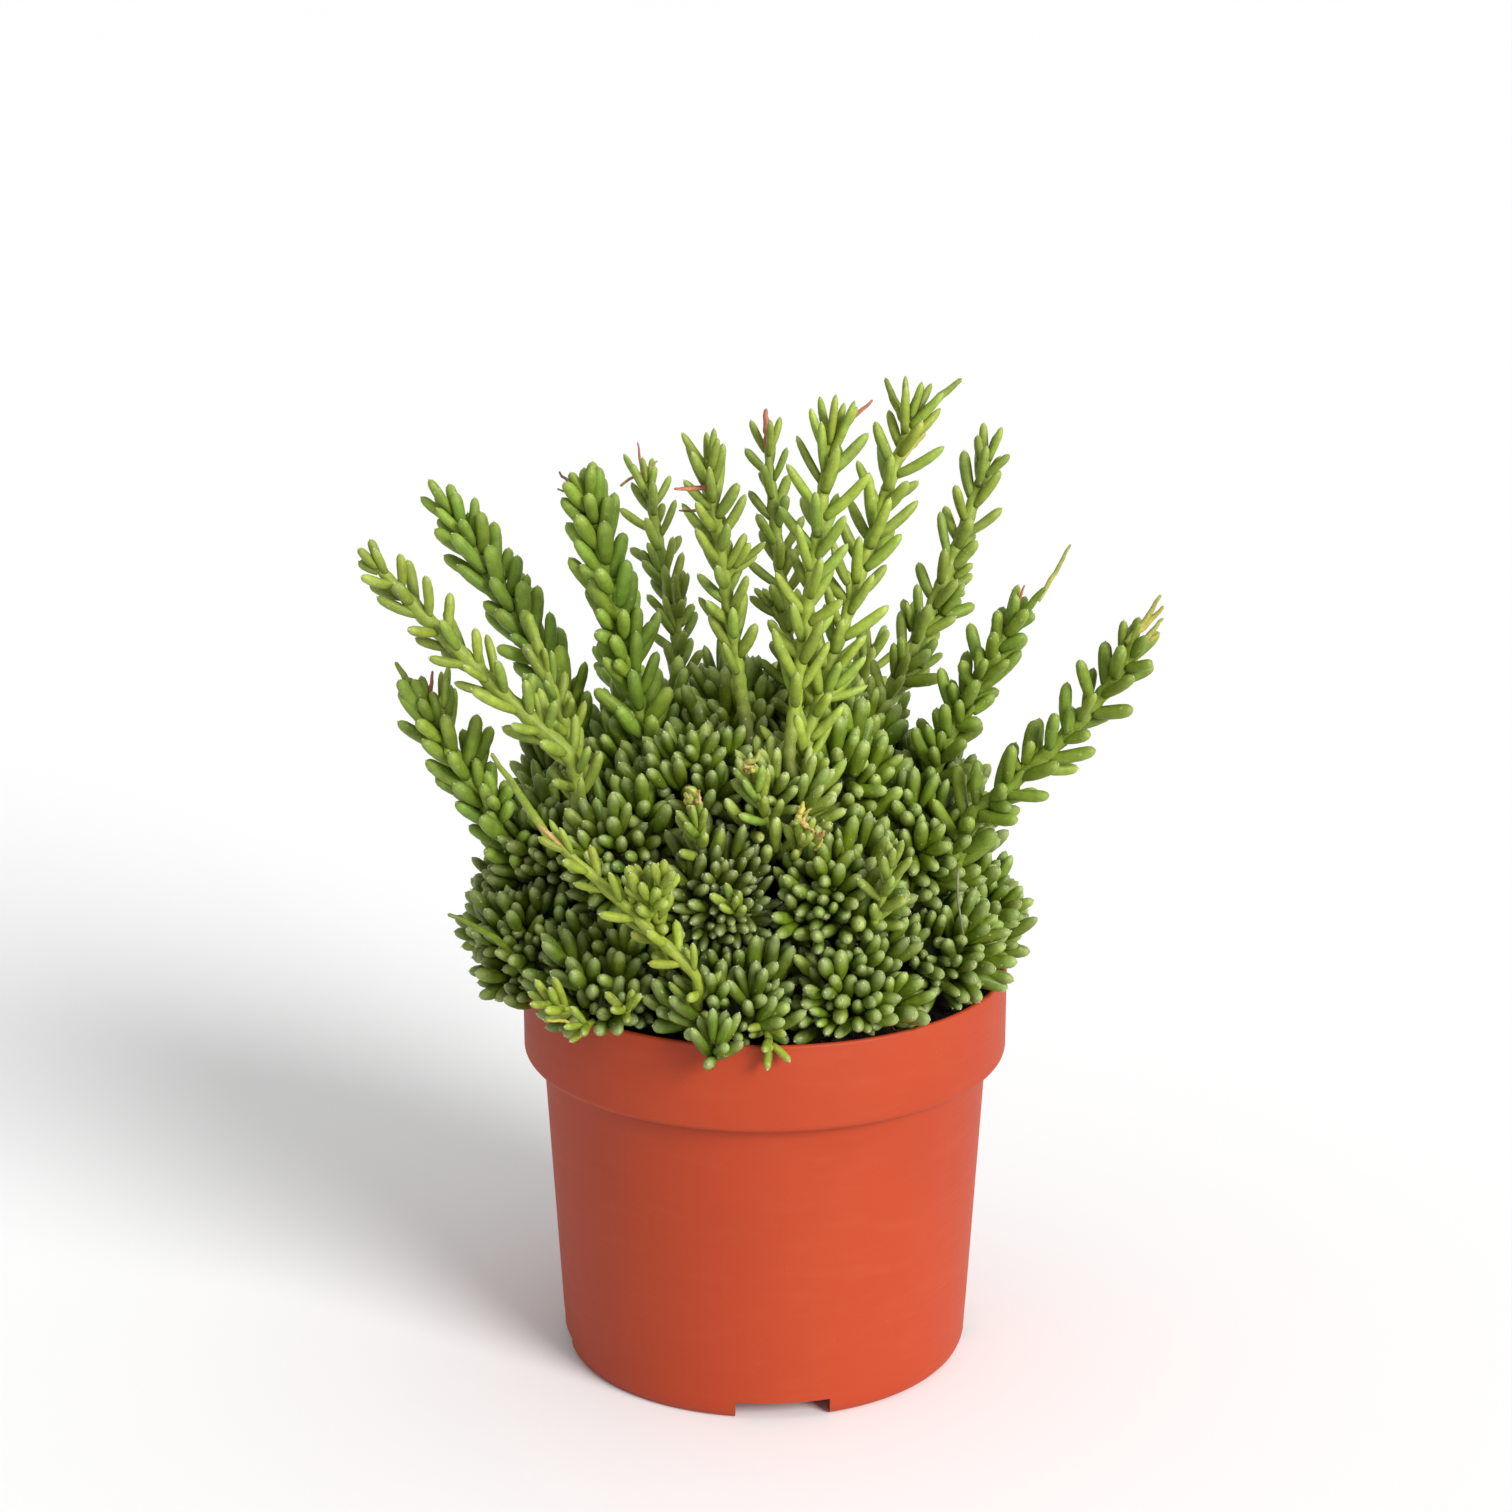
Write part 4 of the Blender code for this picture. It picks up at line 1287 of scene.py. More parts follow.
def spiral_directions(count: int) -> Iterator[Array]:
    """Directions spread evenly over a sphere by the golden spiral, from +Z down.

    Args:
        count: How many there are.

    Returns:
        The unit vectors, one by one.
    """
    for number in range(count):
        height = 1 - (2 * number + 1) / count
        flat = math.sqrt(1 - height * height)
        around = number * GOLDEN_TURN
        yield np.array([flat * math.cos(around), flat * math.sin(around), height])


class FrostAndHighlight(Enum):
    """The pale tip of a segment, part wax bloom and part painted highlight: how much lighter than its skin, and its
    share of pale wax.
    """

    SHOOT = ((1.25, 1.2, 1.3), 0.08)
    TUFT = ((1.7, 1.6, 1.8), 0.32)
    OLD = ((1.6, 1.5, 1.8), 0.2)

    def over(self, colour: Array) -> Array:
        """The colour of a tip whose skin has this colour."""
        lighter, wax = self.value
        return (1 - wax) * colour * np.array(lighter) + wax * PALE


@dataclass(frozen=True)
class Areole:
    """A tuft of pale felt on the skin, with a few fine bristles.

    Sunk and height are shares of its half-width, and the bristles' sizes are in millimetres. The blank value
    stands where its finishes read no colour or place.
    """

    sides: int = 6
    sunk: float = 0.3
    height: float = 0.75
    most_bristles: int = 3
    shortest: float = 0.4
    longest: float = 1.0
    thickness: float = 0.035
    spread: float = 0.7
    blank: float = 0.4

    def grow(self, sprout: Sprout, point: Array, out: Array, size: float, rng: Draws) -> None:
        """Adds an areole to a piece.

        Args:
            sprout: The piece.
            point: Its place on the skin.
            out: The way out of the skin.
            size: Its half-width in metres.
            rng: Where its turn and its bristles are drawn from.
        """
        first = side_of(out, rng.uniform(0, math.tau))
        second = np.cross(out, first)
        turns = np.arange(self.sides) * math.tau / self.sides
        circle = np.cos(turns)[:, None] * first + np.sin(turns)[:, None] * second
        points = np.vstack([point - self.sunk * size * out + size * circle, point + self.height * size * out])
        blank = np.full(points.shape, self.blank)
        sprout.add(points, tube_faces(1, self.sides), blank, blank, Matter.WOOL)
        for _ in range(rng.integers(0, self.most_bristles + 1)):
            self.add_bristle(sprout, point, out, rng)

    def add_bristle(self, sprout: Sprout, point: Array, out: Array, rng: Draws) -> None:
        """Adds a bristle, as a slender blade of three sides.

        Args:
            sprout: The piece.
            point: Its foot.
            out: The way out of the skin.
            rng: Where its lean and length are drawn from.
        """
        lean = unit(out + self.spread * side_of(out, rng.uniform(0, math.tau)))
        length = rng.uniform(self.shortest, self.longest) * MM
        across = side_of(lean, 0.0) * self.thickness * MM
        beside = np.cross(lean, across)
        foot = np.array([point + across, point - 0.5 * across + beside, point - 0.5 * across - beside])
        blade = np.vstack([foot, point + lean * length])
        blank = np.full(blade.shape, self.blank)
        sprout.add(blade, [(0, 2, 1), (0, 1, 3), (1, 2, 3), (2, 0, 3)], blank, blank, Matter.BRISTLE)


@dataclass(frozen=True)
class Tuft:
    """The end of a hidden stem: its place and heading, and how its segments are tinted, sized and turned."""

    tip: Array
    heading: Array
    tint: float
    size: float
    spin: float


@dataclass
class Plant:
    """The whole plant: its shoots and the heads of its cushion.

    The squeezes are how much of its half-width a segment may press into others. The edges are the cosines
    of how far round a head its tufts and its old segments go.
    """

    seed: int = 7
    squeeze: float = 0.5
    old_squeeze: float = 0.45
    lowest: float = 97 * MM
    shortest: float = 2 * MM
    tip_areole: float = 0.36 * MM
    side_areole: float = 0.19 * MM
    areole: Areole = Areole()
    short_of_tip: float = 0.72
    stem_step: float = 1.0 * MM
    stalk_step: float = 2.0 * MM
    stalk_radius: float = 1.4 * MM
    core: float = 0.42
    layers: tuple[float, ...] = (0.9, 0.74)
    tuft_edge: float = math.cos(math.radians(100))
    old_edge: float = math.cos(math.radians(105))
    tuft_margin: float = 2.5 * MM
    old_margin: float = 1.5 * MM
    tone_spread: float = 0.10
    width_spread: float = 0.07

    def __post_init__(self) -> None:
        """Plans the stems and makes the finishes."""
        self.rng: Draws = np.random.default_rng(self.seed)
        self.centres = {head.name: centre_of(head) for head in HEADS}
        self.routes = Roots().plan(self.centres)
        self.crowd = Crowd()
        wool = Wool().make()
        bristle = DryFibre("dry_bristle", pale=(0.55, 0.50, 0.34), dark=(0.34, 0.28, 0.16)).make()
        self.cushion = [WaxySkin("cushion_skin").make(), wool, bristle]
        self.shoot = [WaxySkin("shoot_skin", roughness=0.46, glow=0.16, mottle=0.16).make(), wool, bristle]

    def build(self) -> list[Piece]:
        """Grows the shoots, then the heads round them.

        Returns:
            The pieces.
        """
        for route in self.routes.values():
            for start, end in zip(route.points[:-1], route.points[1:]):
                self.crowd.add(start, end, route.radius)
        return [self.grow_shoot(shoot) for shoot in SHOOTS] + [self.grow_head(head) for head in HEADS]

    def finish(self, sprout: Sprout, node: str, finishes: Sequence[Material]) -> Piece:
        """Turns a grown piece into an object that stands for its solid.

        Args:
            sprout: The piece.
            node: The name of its solid.
            finishes: Its materials, in the order of Matter.

        Returns:
            The object.
        """
        made = sprout.build(finishes)
        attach(made, BODY)
        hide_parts(node)
        return made

    def stem_seed(self) -> float:
        """A seed that sets the skin of a stem apart from others."""
        return self.rng.uniform(0, 50)

    def varied(self, tone: Tone, spread: float) -> Array:
        """A skin colour near a tone, lighter or darker and more or less yellow.

        Args:
            tone: The tone.
            spread: How far it may be off.

        Returns:
            The colour.
        """
        light = math.exp(self.rng.normal(0, spread))
        warm = self.rng.normal(0, 0.4 * spread)
        return np.array(tone.value) * light * np.array([1 + warm, 1.0, 1 - warm])

    def grow_segment(self, sprout: Sprout, segment: Segment, areoles: int) -> None:
        """Adds a segment and its areoles, and keeps its place from others.

        Args:
            sprout: Its piece.
            segment: The segment, shortened where it would leave the solids' own box.
            areoles: How many areoles it has besides the one on its tip.
        """
        while ((segment.tip < BOX_LOW) | (segment.tip > BOX_HIGH)).any() and segment.length > self.shortest:
            segment.length *= 0.9
            segment.bend = segment.bend * 0.8
        self.crowd.hold(segment)
        segment.grow(sprout)
        end = unit(segment.heading * segment.length + 2 * segment.bend)
        self.areole.grow(sprout, segment.tip, end, self.tip_areole, self.rng)
        for _ in range(areoles):
            share = self.rng.uniform(0.3, 0.95)
            out = side_of(end, self.rng.uniform(0, math.tau))
            skin = segment.at(share) + out * segment.half_width(share) * segment.flat * 0.97
            self.areole.grow(sprout, skin, out, self.side_areole, self.rng)

    def grow_shoot(self, shoot: Shoot) -> Piece:
        """Grows a stem from the soil to its tip, with its segments, side shoots and dry tips.

        Args:
            shoot: What it is like.

        Returns:
            The piece.
        """
        sprout = Sprout(shoot.name + "_green")
        course, leafy = self.course_of(shoot)
        leaves = leafy - shoot.clean * MM
        self.clothe(sprout, course, shoot.habit, shoot.bare * MM, min(leafy, leaves), leaves)
        for branch in shoot.branches:
            start = course[index_below(course, branch.down * MM)]
            self.grow_side(sprout, start, np.array(branch.end) * MM, branch.habit)
        self.grow_skirt(sprout, course, shoot, leafy)
        for thorn in shoot.thorns:
            self.add_thorn(sprout, thorn, course)
        return self.finish(sprout, shoot.name, self.shoot)

    def course_of(self, shoot: Shoot) -> tuple[Array, float]:
        """The course of a shoot's stem, out of the soil and bowed from its neck to its end.

        Args:
            shoot: The shoot.

        Returns:
            Its points, root first, and how far its end is from its neck.
        """
        neck = np.array(shoot.neck) * MM
        tip = np.array(shoot.tip) * MM
        end = tip - unit(tip - neck) * self.short_of_tip * shoot.habit.young * shoot.habit.length
        upper = np.linspace(0, 1, 12)[1:, None]
        bowed = neck + (end - neck) * upper + np.array(shoot.bow) * MM * 4 * upper * (1 - upper)
        course = smooth_course(np.vstack([self.routes[shoot.name].points, bowed]), self.stem_step)
        return course, float(np.linalg.norm(end - neck))

    def grow_skirt(self, sprout: Sprout, course: Array, shoot: Shoot, leafy: float) -> None:
        """Grows the short side shoots that crowd the lower part of a leafy stem.

        Args:
            sprout: Their piece.
            course: The stem's points, root first.
            shoot: What the stem is like.
            leafy: How far the stem's end is from its neck.
        """
        turn = self.rng.uniform(0, math.tau)
        for number in range(shoot.skirt):
            share = (number + 0.5) / shoot.skirt
            index = index_below(course, leafy * (0.42 + 0.62 * share))
            way = unit(course[index + 1] - course[index - 1])
            side = side_of(way, turn + number * GOLDEN_TURN)
            length = self.rng.uniform(9, 13 + 5 * share) * MM
            target = course[index] + unit(way + 0.55 * side + 0.3 * UP) * length
            habit = replace(shoot.habit, young=max(0.7, shoot.habit.young), length=0.88 * shoot.habit.length)
            self.grow_side(sprout, course[index], target, habit)

    def grow_side(self, sprout: Sprout, start: Array, target: Array, habit: Habit) -> None:
        """Grows a side shoot that leaves a stem and bends up to its own tip.

        Args:
            sprout: Its piece.
            start: Where it leaves the stem.
            target: Where its youngest segments end.
            habit: How it carries its segments.
        """
        far = target - unit(target - start) * 0.6 * habit.length
        if (far - start) @ (target - start) <= 0:
            far = start + 0.3 * (target - start)
        middle = 0.5 * (start + far) - 0.10 * np.linalg.norm(far - start) * UP
        side = smooth_course(np.vstack([start, middle, far]), self.stem_step)
        slim = replace(habit, stem=0.8 * habit.stem)
        self.clothe(sprout, side, slim, 0.0, 0.0, float(np.linalg.norm(far - start)))

    def clothe(self, sprout: Sprout, course: Array, habit: Habit, bare: float, sure: float, leafy: float) -> None:
        """Grows a stem along a course, with segments in a spiral down from its end.

        Args:
            sprout: Its piece.
            course: Its points, root first.
            habit: How it carries its segments.
            bare: How much of its end has none.
            sure: How far down they grow whether or not there is room.
            leafy: How far down they grow at all.
        """
        along = travelled(course)
        left = along[-1] - along
        self.grow_stem(sprout, course, left, habit, bare, leafy)
        down = bare
        number = 0
        turn = self.rng.uniform(0, math.tau)
        while down < leafy:
            index = min(max(int(np.searchsorted(-left, -down)), 1), len(course) - 2)
            grown = min(1.0, (down - bare) / (1.5 * habit.length))
            segment = self.stem_segment(course, index, habit, grown, turn + number * GOLDEN_TURN)
            if down < sure or self.crowd.fits(segment, self.squeeze):
                self.grow_segment(sprout, segment, int(self.rng.integers(0, 4)))
            down += habit.spacing * (0.62 + 0.38 * grown) * self.rng.uniform(0.8, 1.2)
            number += 1

    def grow_stem(self, sprout: Sprout, course: Array, left: Array, habit: Habit, bare: float, leafy: float) -> None:
        """Grows the stem itself, slimmer to its end, knobbly, and woody below its segments.

        Args:
            sprout: Its piece.
            course: Its points, root first.
            left: How far each point is from its end.
            habit: How it carries its segments.
            bare: How much of its end has none.
            leafy: How far down they grow.
        """
        taper = np.clip(left / (14 * MM), 0, 1) if bare == 0 else np.clip(0.6 + left / (30 * MM), 0, 1)
        waves = 1 + 0.09 * np.sin(left / (2.2 * habit.spacing) * math.tau + self.rng.uniform(0, 6))
        radii = habit.stem * (0.55 + 0.45 * taper) * waves
        green = np.array(habit.tone.value) * np.array([1.10, 1.06, 1.10])
        woody = np.clip((left - leafy) / (20 * MM), 0, 1)[:, None]
        skins = green * (1 - woody) + np.array(Tone.WOOD.value) * woody
        sprout.tube(course, radii, skins, self.stem_seed())

    def stem_segment(self, course: Array, index: int, habit: Habit, grown: float, turn: float) -> Segment:
        """A segment on a stem, not yet placed.

        Args:
            course: The stem's points, root first.
            index: The point that it leaves from.
            habit: How the stem carries its segments.
            grown: How near it is to its full size, from 0 to 1.
            turn: How far round the stem it is, in radians.

        Returns:
            The segment.
        """
        way = unit(course[index + 1] - course[index - 1])
        lean = math.radians(habit.lean * (0.6 + 0.4 * grown) + self.rng.normal(0, 8))
        side = side_of(way, turn)
        heading = unit(way * math.cos(lean) + side * math.sin(lean) + 0.10 * UP)
        length = habit.length * (habit.young + (1 - habit.young) * grown) * self.rng.normal(1, 0.12)
        colour = self.varied(habit.tone, self.tone_spread)
        return Segment(
            root=course[index] + side * 0.55 * habit.stem * (0.55 + 0.45 * grown),
            heading=heading,
            length=length,
            width=habit.width * (0.8 + 0.2 * grown) * self.rng.normal(1, self.width_spread),
            form=habit.form,
            skin=colour,
            bend=(way * self.rng.uniform(0.02, 0.22) + UP * 0.05 - side * 0.05) * length,
            tip_skin_and_highlight=FrostAndHighlight.SHOOT.over(colour),
            seed=self.rng.uniform(0, SKIN_SEEDS),
            twist=self.rng.uniform(0, TWISTS),
        )

    def add_thorn(self, sprout: Sprout, thorn: Thorn, course: Array | None = None) -> None:
        """Adds a dry needle or twig.

        Args:
            sprout: Its piece.
            thorn: What it is like.
            course: The stem that it grows from at the nearest point, unless it is free.
        """
        foot, point = np.array(thorn.foot) * MM, np.array(thorn.point) * MM
        if course is not None and not thorn.free:
            foot = course[int(np.linalg.norm(course - foot, axis=1).argmin())]
        steps = np.linspace(0, 1, THORN_STEPS)[:, None]
        sag = side_of(unit(point - foot), self.rng.uniform(0, 6)) * thorn.bow * MM
        line = foot + (point - foot) * steps + sag * 4 * steps * (1 - steps)
        line[1:-1] += self.rng.normal(0, 0.12, (THORN_STEPS - 2, 3)) * MM
        radii = thorn.radius * MM * (0.35 + 0.65 * np.sin(np.linspace(0.9, 2.9, THORN_STEPS)))
        skins = np.array(thorn.tone.value) * (1.1 - 0.35 * steps)
        sprout.tube(line, radii, skins, self.stem_seed(), 7)

    def wither(self, sprout: Sprout, spot: Spot) -> None:
        """Adds a tuft of crooked dry scales where a young tip has died back.

        Args:
            sprout: Its piece.
            spot: The middle of the tuft, in millimetres.
        """
        middle = np.array(spot) * MM
        for tone in 2 * (Tone.STRAW, Tone.TAN, Tone.YELLOW):
            way = unit(self.rng.normal(0, 1, 3) + 1.2 * UP + np.array([0, -0.5, 0]))
            foot = middle + self.rng.normal(0, 1.1, 3) * MM - 2.0 * MM * way
            point = foot + way * self.rng.uniform(2.5, 5.0) * MM
            scale = Thorn(tuple(foot / MM), tuple(point / MM), self.rng.uniform(0.35, 0.8), tone, 0.5)
            self.add_thorn(sprout, scale)

    def grow_head(self, head: Head) -> Piece:
        """Grows a stalk, a small core, the head's own sprigs, and its tufts and older segments.

        Args:
            head: What it is like.

        Returns:
            The piece.
        """
        sprout = Sprout(head.name + "_green")
        self.grow_stalk(sprout, self.routes[head.name])
        self.add_core(sprout, self.centres[head.name], self.core * head.reach * MM)
        for twig in head.twigs:
            self.grow_side(sprout, np.array(twig.foot) * MM, np.array(twig.end) * MM, twig.habit)
        self.grow_cover(sprout, head)
        for spot in head.withered:
            self.wither(sprout, spot)
        for thorn in head.thorns:
            self.add_thorn(sprout, thorn)
        return self.finish(sprout, head.name, self.cushion)

    def grow_stalk(self, sprout: Sprout, route: Route) -> None:
        """Grows the hidden stalk that a head stands on.

        Args:
            sprout: Its piece.
            route: Its course out of the soil.
        """
        course = smooth_course(route.points, self.stalk_step)
        skins = np.tile(np.array(Tone.STALK.value), (len(course), 1))
        sprout.tube(course, np.full(len(course), self.stalk_radius), skins, self.stem_seed(), 8)

    def add_core(self, sprout: Sprout, centre: Array, radius: float) -> None:
        """Adds the knobbly middle of a head, coloured very dark as painted shade.

        Args:
            sprout: Its piece.
            centre: Its middle.
            radius: Its radius before the knobs.
        """
        points, faces = ball(3, radius)
        waves = np.sin(points @ np.array([2.1, 1.3, 0.7]) / MM) * np.sin(points @ np.array([-0.9, 1.7, 1.9]) / MM)
        points = centre + points * (1 + 0.08 * waves)[:, None]
        # The core's near-black colour is painted shade
        skins = np.tile(np.array(Tone.CORE.value), (len(points), 1))
        sprout.add(points, faces, skins, points / SKIN_UNIT)

    def grow_cover(self, sprout: Sprout, head: Head) -> None:
        """Grows a head's tufts, then its older segments in layers under them.

        Args:
            sprout: Their piece.
            head: What the head is like.
        """
        manner, facing = head.manner, facing_of(head)
        turn = np.array(Vector(facing).to_track_quat("Z", "Y").to_matrix())
        reach = head.reach * MM * manner.share
        for direction in self.fan(turn, reach, manner.tuft):
            if direction @ facing > self.tuft_edge:
                self.grow_tuft(sprout, head, direction, reach * self.rng.uniform(*manner.depth))
        for layer in self.layers:
            for direction in self.fan(turn, layer * reach, 0.95 * manner.pitch):
                if direction @ facing > self.old_edge:
                    self.fill(sprout, head, direction, layer * reach)

    def fan(self, turn: Array, reach: float, pitch: float) -> Iterator[Array]:
        """Uneven directions all round a head.

        Args:
            turn: The turn of the head from +Z.
            reach: The radius that they are counted at.
            pitch: How far apart they are at that radius.

        Returns:
            The unit vectors, one by one.
        """
        number = int(4 * math.pi * reach**2 / (HEXAGONAL * pitch**2))
        spin = np.array(Matrix.Rotation(self.rng.uniform(0, math.tau), 3, "Z"))
        for direction in spiral_directions(number):
            yield unit(turn @ spin @ direction + self.rng.normal(0, 0.22 * pitch / reach, 3))

    def in_own_cell(self, name: str, point: Array, margin: float) -> bool:
        """Whether a point is on its own head's side of the plane halfway to every other head.

        Args:
            name: The name of its head.
            point: The point.
            margin: How far past the plane it may be.

        Returns:
            True when it is.
        """
        centre = self.centres[name]
        for other, middle in self.centres.items():
            if other != name:
                apart = middle - centre
                if (point - centre - 0.5 * apart) @ unit(apart) > margin:
                    return False
        return True

    def grow_tuft(self, sprout: Sprout, head: Head, direction: Array, reach: float) -> None:
        """Grows one of a head's hidden stems, whose segments fan out from its end.

        Args:
            sprout: Its piece.
            head: Its head.
            direction: The way from the head's middle to its tip.
            reach: How far its tip is from the middle, in metres.
        """
        manner, facing = head.manner, facing_of(head)
        tip = self.centres[head.name] + direction * reach
        if not self.in_own_cell(head.name, tip, self.tuft_margin):
            return
        flat = direction - manner.fan * (direction @ facing) * facing
        tuft = Tuft(
            tip=tip,
            heading=unit(flat + 0.15 * facing + manner.rise * UP + self.rng.normal(0, 0.14, 3)),
            tint=math.exp(self.rng.normal(0, self.tone_spread)),
            size=self.rng.normal(1, self.width_spread),
            spin=self.rng.uniform(0, math.tau),
        )
        for number in range(manner.crowd):
            segment = self.tuft_segment(manner, tuft, number)
            if segment.tip[2] > self.lowest and self.crowd.fits(segment, self.squeeze):
                self.grow_segment(sprout, segment, int(self.rng.integers(1, 4)))

    def tuft_segment(self, manner: Manner, tuft: Tuft, number: int) -> Segment:
        """A segment of a tuft, not yet placed.

        Args:
            manner: How the head carries its segments.
            tuft: The tuft.
            number: Its place in the spiral.

        Returns:
            The segment.
        """
        share = number / (manner.crowd - 1)
        lean = math.radians(6 + manner.spread * share**0.75 + self.rng.normal(0, 6))
        side = side_of(tuft.heading, tuft.spin + number * GOLDEN_TURN)
        way = unit(tuft.heading * math.cos(lean) + side * math.sin(lean) + 0.12 * UP)
        length = manner.length * tuft.size * self.rng.normal(1, 0.09)
        colour = self.varied(manner.tone, self.tone_spread) * tuft.tint
        down = 0.78 * manner.length + (0.4 + 5.2 * share) * MM
        return Segment(
            root=tuft.tip - tuft.heading * down + side * 0.6 * MM,
            heading=way,
            length=length,
            width=manner.width * tuft.size * self.rng.normal(1, self.width_spread),
            form=manner.form,
            skin=colour,
            bend=(tuft.heading * 0.12 + UP * manner.curl) * length * self.rng.uniform(0.2, 1.6),
            tip_skin_and_highlight=FrostAndHighlight.TUFT.over(colour),
            seed=self.rng.uniform(0, SKIN_SEEDS),
            twist=self.rng.uniform(0, TWISTS),
        )

    def fill(self, sprout: Sprout, head: Head, direction: Array, reach: float) -> None:
        """Grows an older segment between the tufts, darker as painted shade.

        Args:
            sprout: Its piece.
            head: Its head.
            direction: The way from the head's middle to its tip.
            reach: About how far that is, in metres.
        """
        manner = head.manner
        heading = unit(direction + 0.2 * facing_of(head) + manner.rise * UP + self.rng.normal(0, 0.15, 3))
        length = 0.85 * manner.length * self.rng.normal(1, 0.10)
        # These segments lie under the tufts and are made 0.82 as bright: painted shade
        colour = self.varied(manner.tone, 0.12) * 0.82
        tip = self.centres[head.name] + direction * reach * self.rng.uniform(0.93, 1.03)
        segment = Segment(
            root=tip - heading * length,
            heading=heading,
            length=length,
            width=0.88 * manner.width * self.rng.normal(1, self.width_spread),
            form=manner.form,
            skin=colour,
            bend=np.zeros(3),
            tip_skin_and_highlight=FrostAndHighlight.OLD.over(colour),
            seed=self.rng.uniform(0, SKIN_SEEDS),
            twist=self.rng.uniform(0, TWISTS),
        )
        if self.in_own_cell(head.name, tip, self.old_margin) and self.crowd.fits(segment, self.old_squeeze):
            self.grow_segment(sprout, segment, int(self.rng.integers(0, 2)))


def rounding(turn: float, radius: float) -> tuple[float, float]:
    """A point of a quarter-round edge.

    Args:
        turn: How far round it is, in degrees, from the wall at 0 to the top at 90.
        radius: The radius of the edge.

    Returns:
        How far the point is in from the wall, and down from the top.
    """
    angle = math.radians(turn)
    return radius * (1 - math.cos(angle)), radius * (1 - math.sin(angle))


@dataclass
class NurseryPot:
    """The plain round pot: a vertical collar over a tapered body, on a notched foot ring."""

    steps: int = 192
    rim_edge: float = 0.65 * MM
    collar_depth: float = 22 * MM
    collar_edge: float = 2 * MM
    neck_depth: float = 1.4 * MM
    body_top: float = 55.2 * MM
    body_base: float = 51.0 * MM
    base_height: float = 3.4 * MM
    foot: float = 49.2 * MM
    foot_width: float = 1.8 * MM
    plate: float = 5.0 * MM
    plate_thickness: float = 1.2 * MM
    rib_radii: tuple[float, ...] = (40.0 * MM, 20.0 * MM)
    rib_depth: float = 0.8 * MM
    gate_depth: float = 0.9 * MM
    openings: int = 4
    notch_width: float = 23 * MM
    notch_height: float = 4.5 * MM
    notch_reach: float = 12 * MM
    notch_turn: float = math.radians(5)
    drain_radius: float = 4 * MM
    drain_circle: float = 30 * MM
    drain_depth: float = 8 * MM
    soft_edge: float = 0.25 * MM

    @property
    def ledge(self) -> float:
        """The height of the collar's lower edge."""
        return POT_HEIGHT - self.collar_depth

    def profile(self) -> Outline:
        """The whole outline, from the plate inside to the plate underneath."""
        return self.inside() + self.collar() + self.body() + self.underside()

    def inside(self) -> Outline:
        """From the middle of the plate up the inner wall to just under the rim.

        Returns:
            The points of the outline.
        """
        floor = self.plate + self.plate_thickness
        wall = self.body_base - WALL
        points = [(0.0, floor), (wall - 2 * MM, floor), (wall - 0.5 * MM, floor + 0.4 * MM)]
        points += [(wall, floor + 1.6 * MM), (self.body_top - WALL, self.ledge)]
        points += [(RIM_RADIUS - 1.6 * MM, self.ledge + 1.7 * MM)]
        return points + [(RIM_RADIUS - WALL - 0.05 * MM, POT_HEIGHT - 0.7 * MM)]

    def collar(self) -> Outline:
        """Over the rolled rim, down the collar and round its lower edge.

        Returns:
            The points of the outline.
        """
        points = []
        for turn in (10, 40, 70, 90):
            across, down = rounding(turn, self.rim_edge)
            points.append((RIM_RADIUS - WALL + across, POT_HEIGHT - down))
        for turn in (90, 65, 40, 15, 0):
            across, down = rounding(turn, self.rim_edge)
            points.append((RIM_RADIUS - across, POT_HEIGHT - down))
        points += [(RIM_RADIUS, POT_HEIGHT - 6 * MM), (RIM_RADIUS, POT_HEIGHT - 13 * MM)]
        for turn in (0, 15, 30, 45, 60, 75, 88):
            across, up = rounding(turn, self.collar_edge)
            points.append((RIM_RADIUS - across, self.ledge + up))
        return points

    def body(self) -> Outline:
        """From the collar down the tapered wall to its base.

        Returns:
            The points of the outline.
        """
        top = self.ledge - self.neck_depth
        points = [(self.body_top + 0.9 * MM, self.ledge - 0.15 * MM)]
        points += [(self.body_top + 0.25 * MM, self.ledge - 0.5 * MM), (self.body_top, top)]
        for share in (0.15, 0.3, 0.45, 0.6, 0.75, 0.9):
            height = top * (1 - share) + self.base_height * share
            points.append((self.body_top + (self.body_base - self.body_top) * share, height))
        return points + [(self.body_base + 0.05 * MM, 6 * MM), (self.body_base, 3.2 * MM)]

    def underside(self) -> Outline:
        """Round the foot ring, up inside it and in under the plate, past its ribs to the gate mark.

        Returns:
            The points of the outline.
        """
        edge = self.foot - self.foot_width
        inner = edge - 0.25 * MM
        points = [(self.body_base - 0.25 * MM, 2.0 * MM), (self.body_base - 0.75 * MM, 0.9 * MM)]
        points += [(self.foot + 0.45 * MM, 0.25 * MM), (self.foot, 0.0), (edge, 0.0), (edge - 0.2 * MM, 0.2 * MM)]
        points += [(inner, self.plate - 0.6 * MM), (inner - 0.6 * MM, self.plate)]
        rib_foot = self.plate - self.rib_depth
        for rib in self.rib_radii:
            points += [(rib + 0.7 * MM, self.plate), (rib + 0.4 * MM, rib_foot)]
            points += [(rib - 0.4 * MM, rib_foot), (rib - 0.7 * MM, self.plate)]
        gate_foot = self.plate - self.gate_depth
        return points + [(2.2 * MM, self.plate), (1.8 * MM, gate_foot), (0.0, gate_foot)]

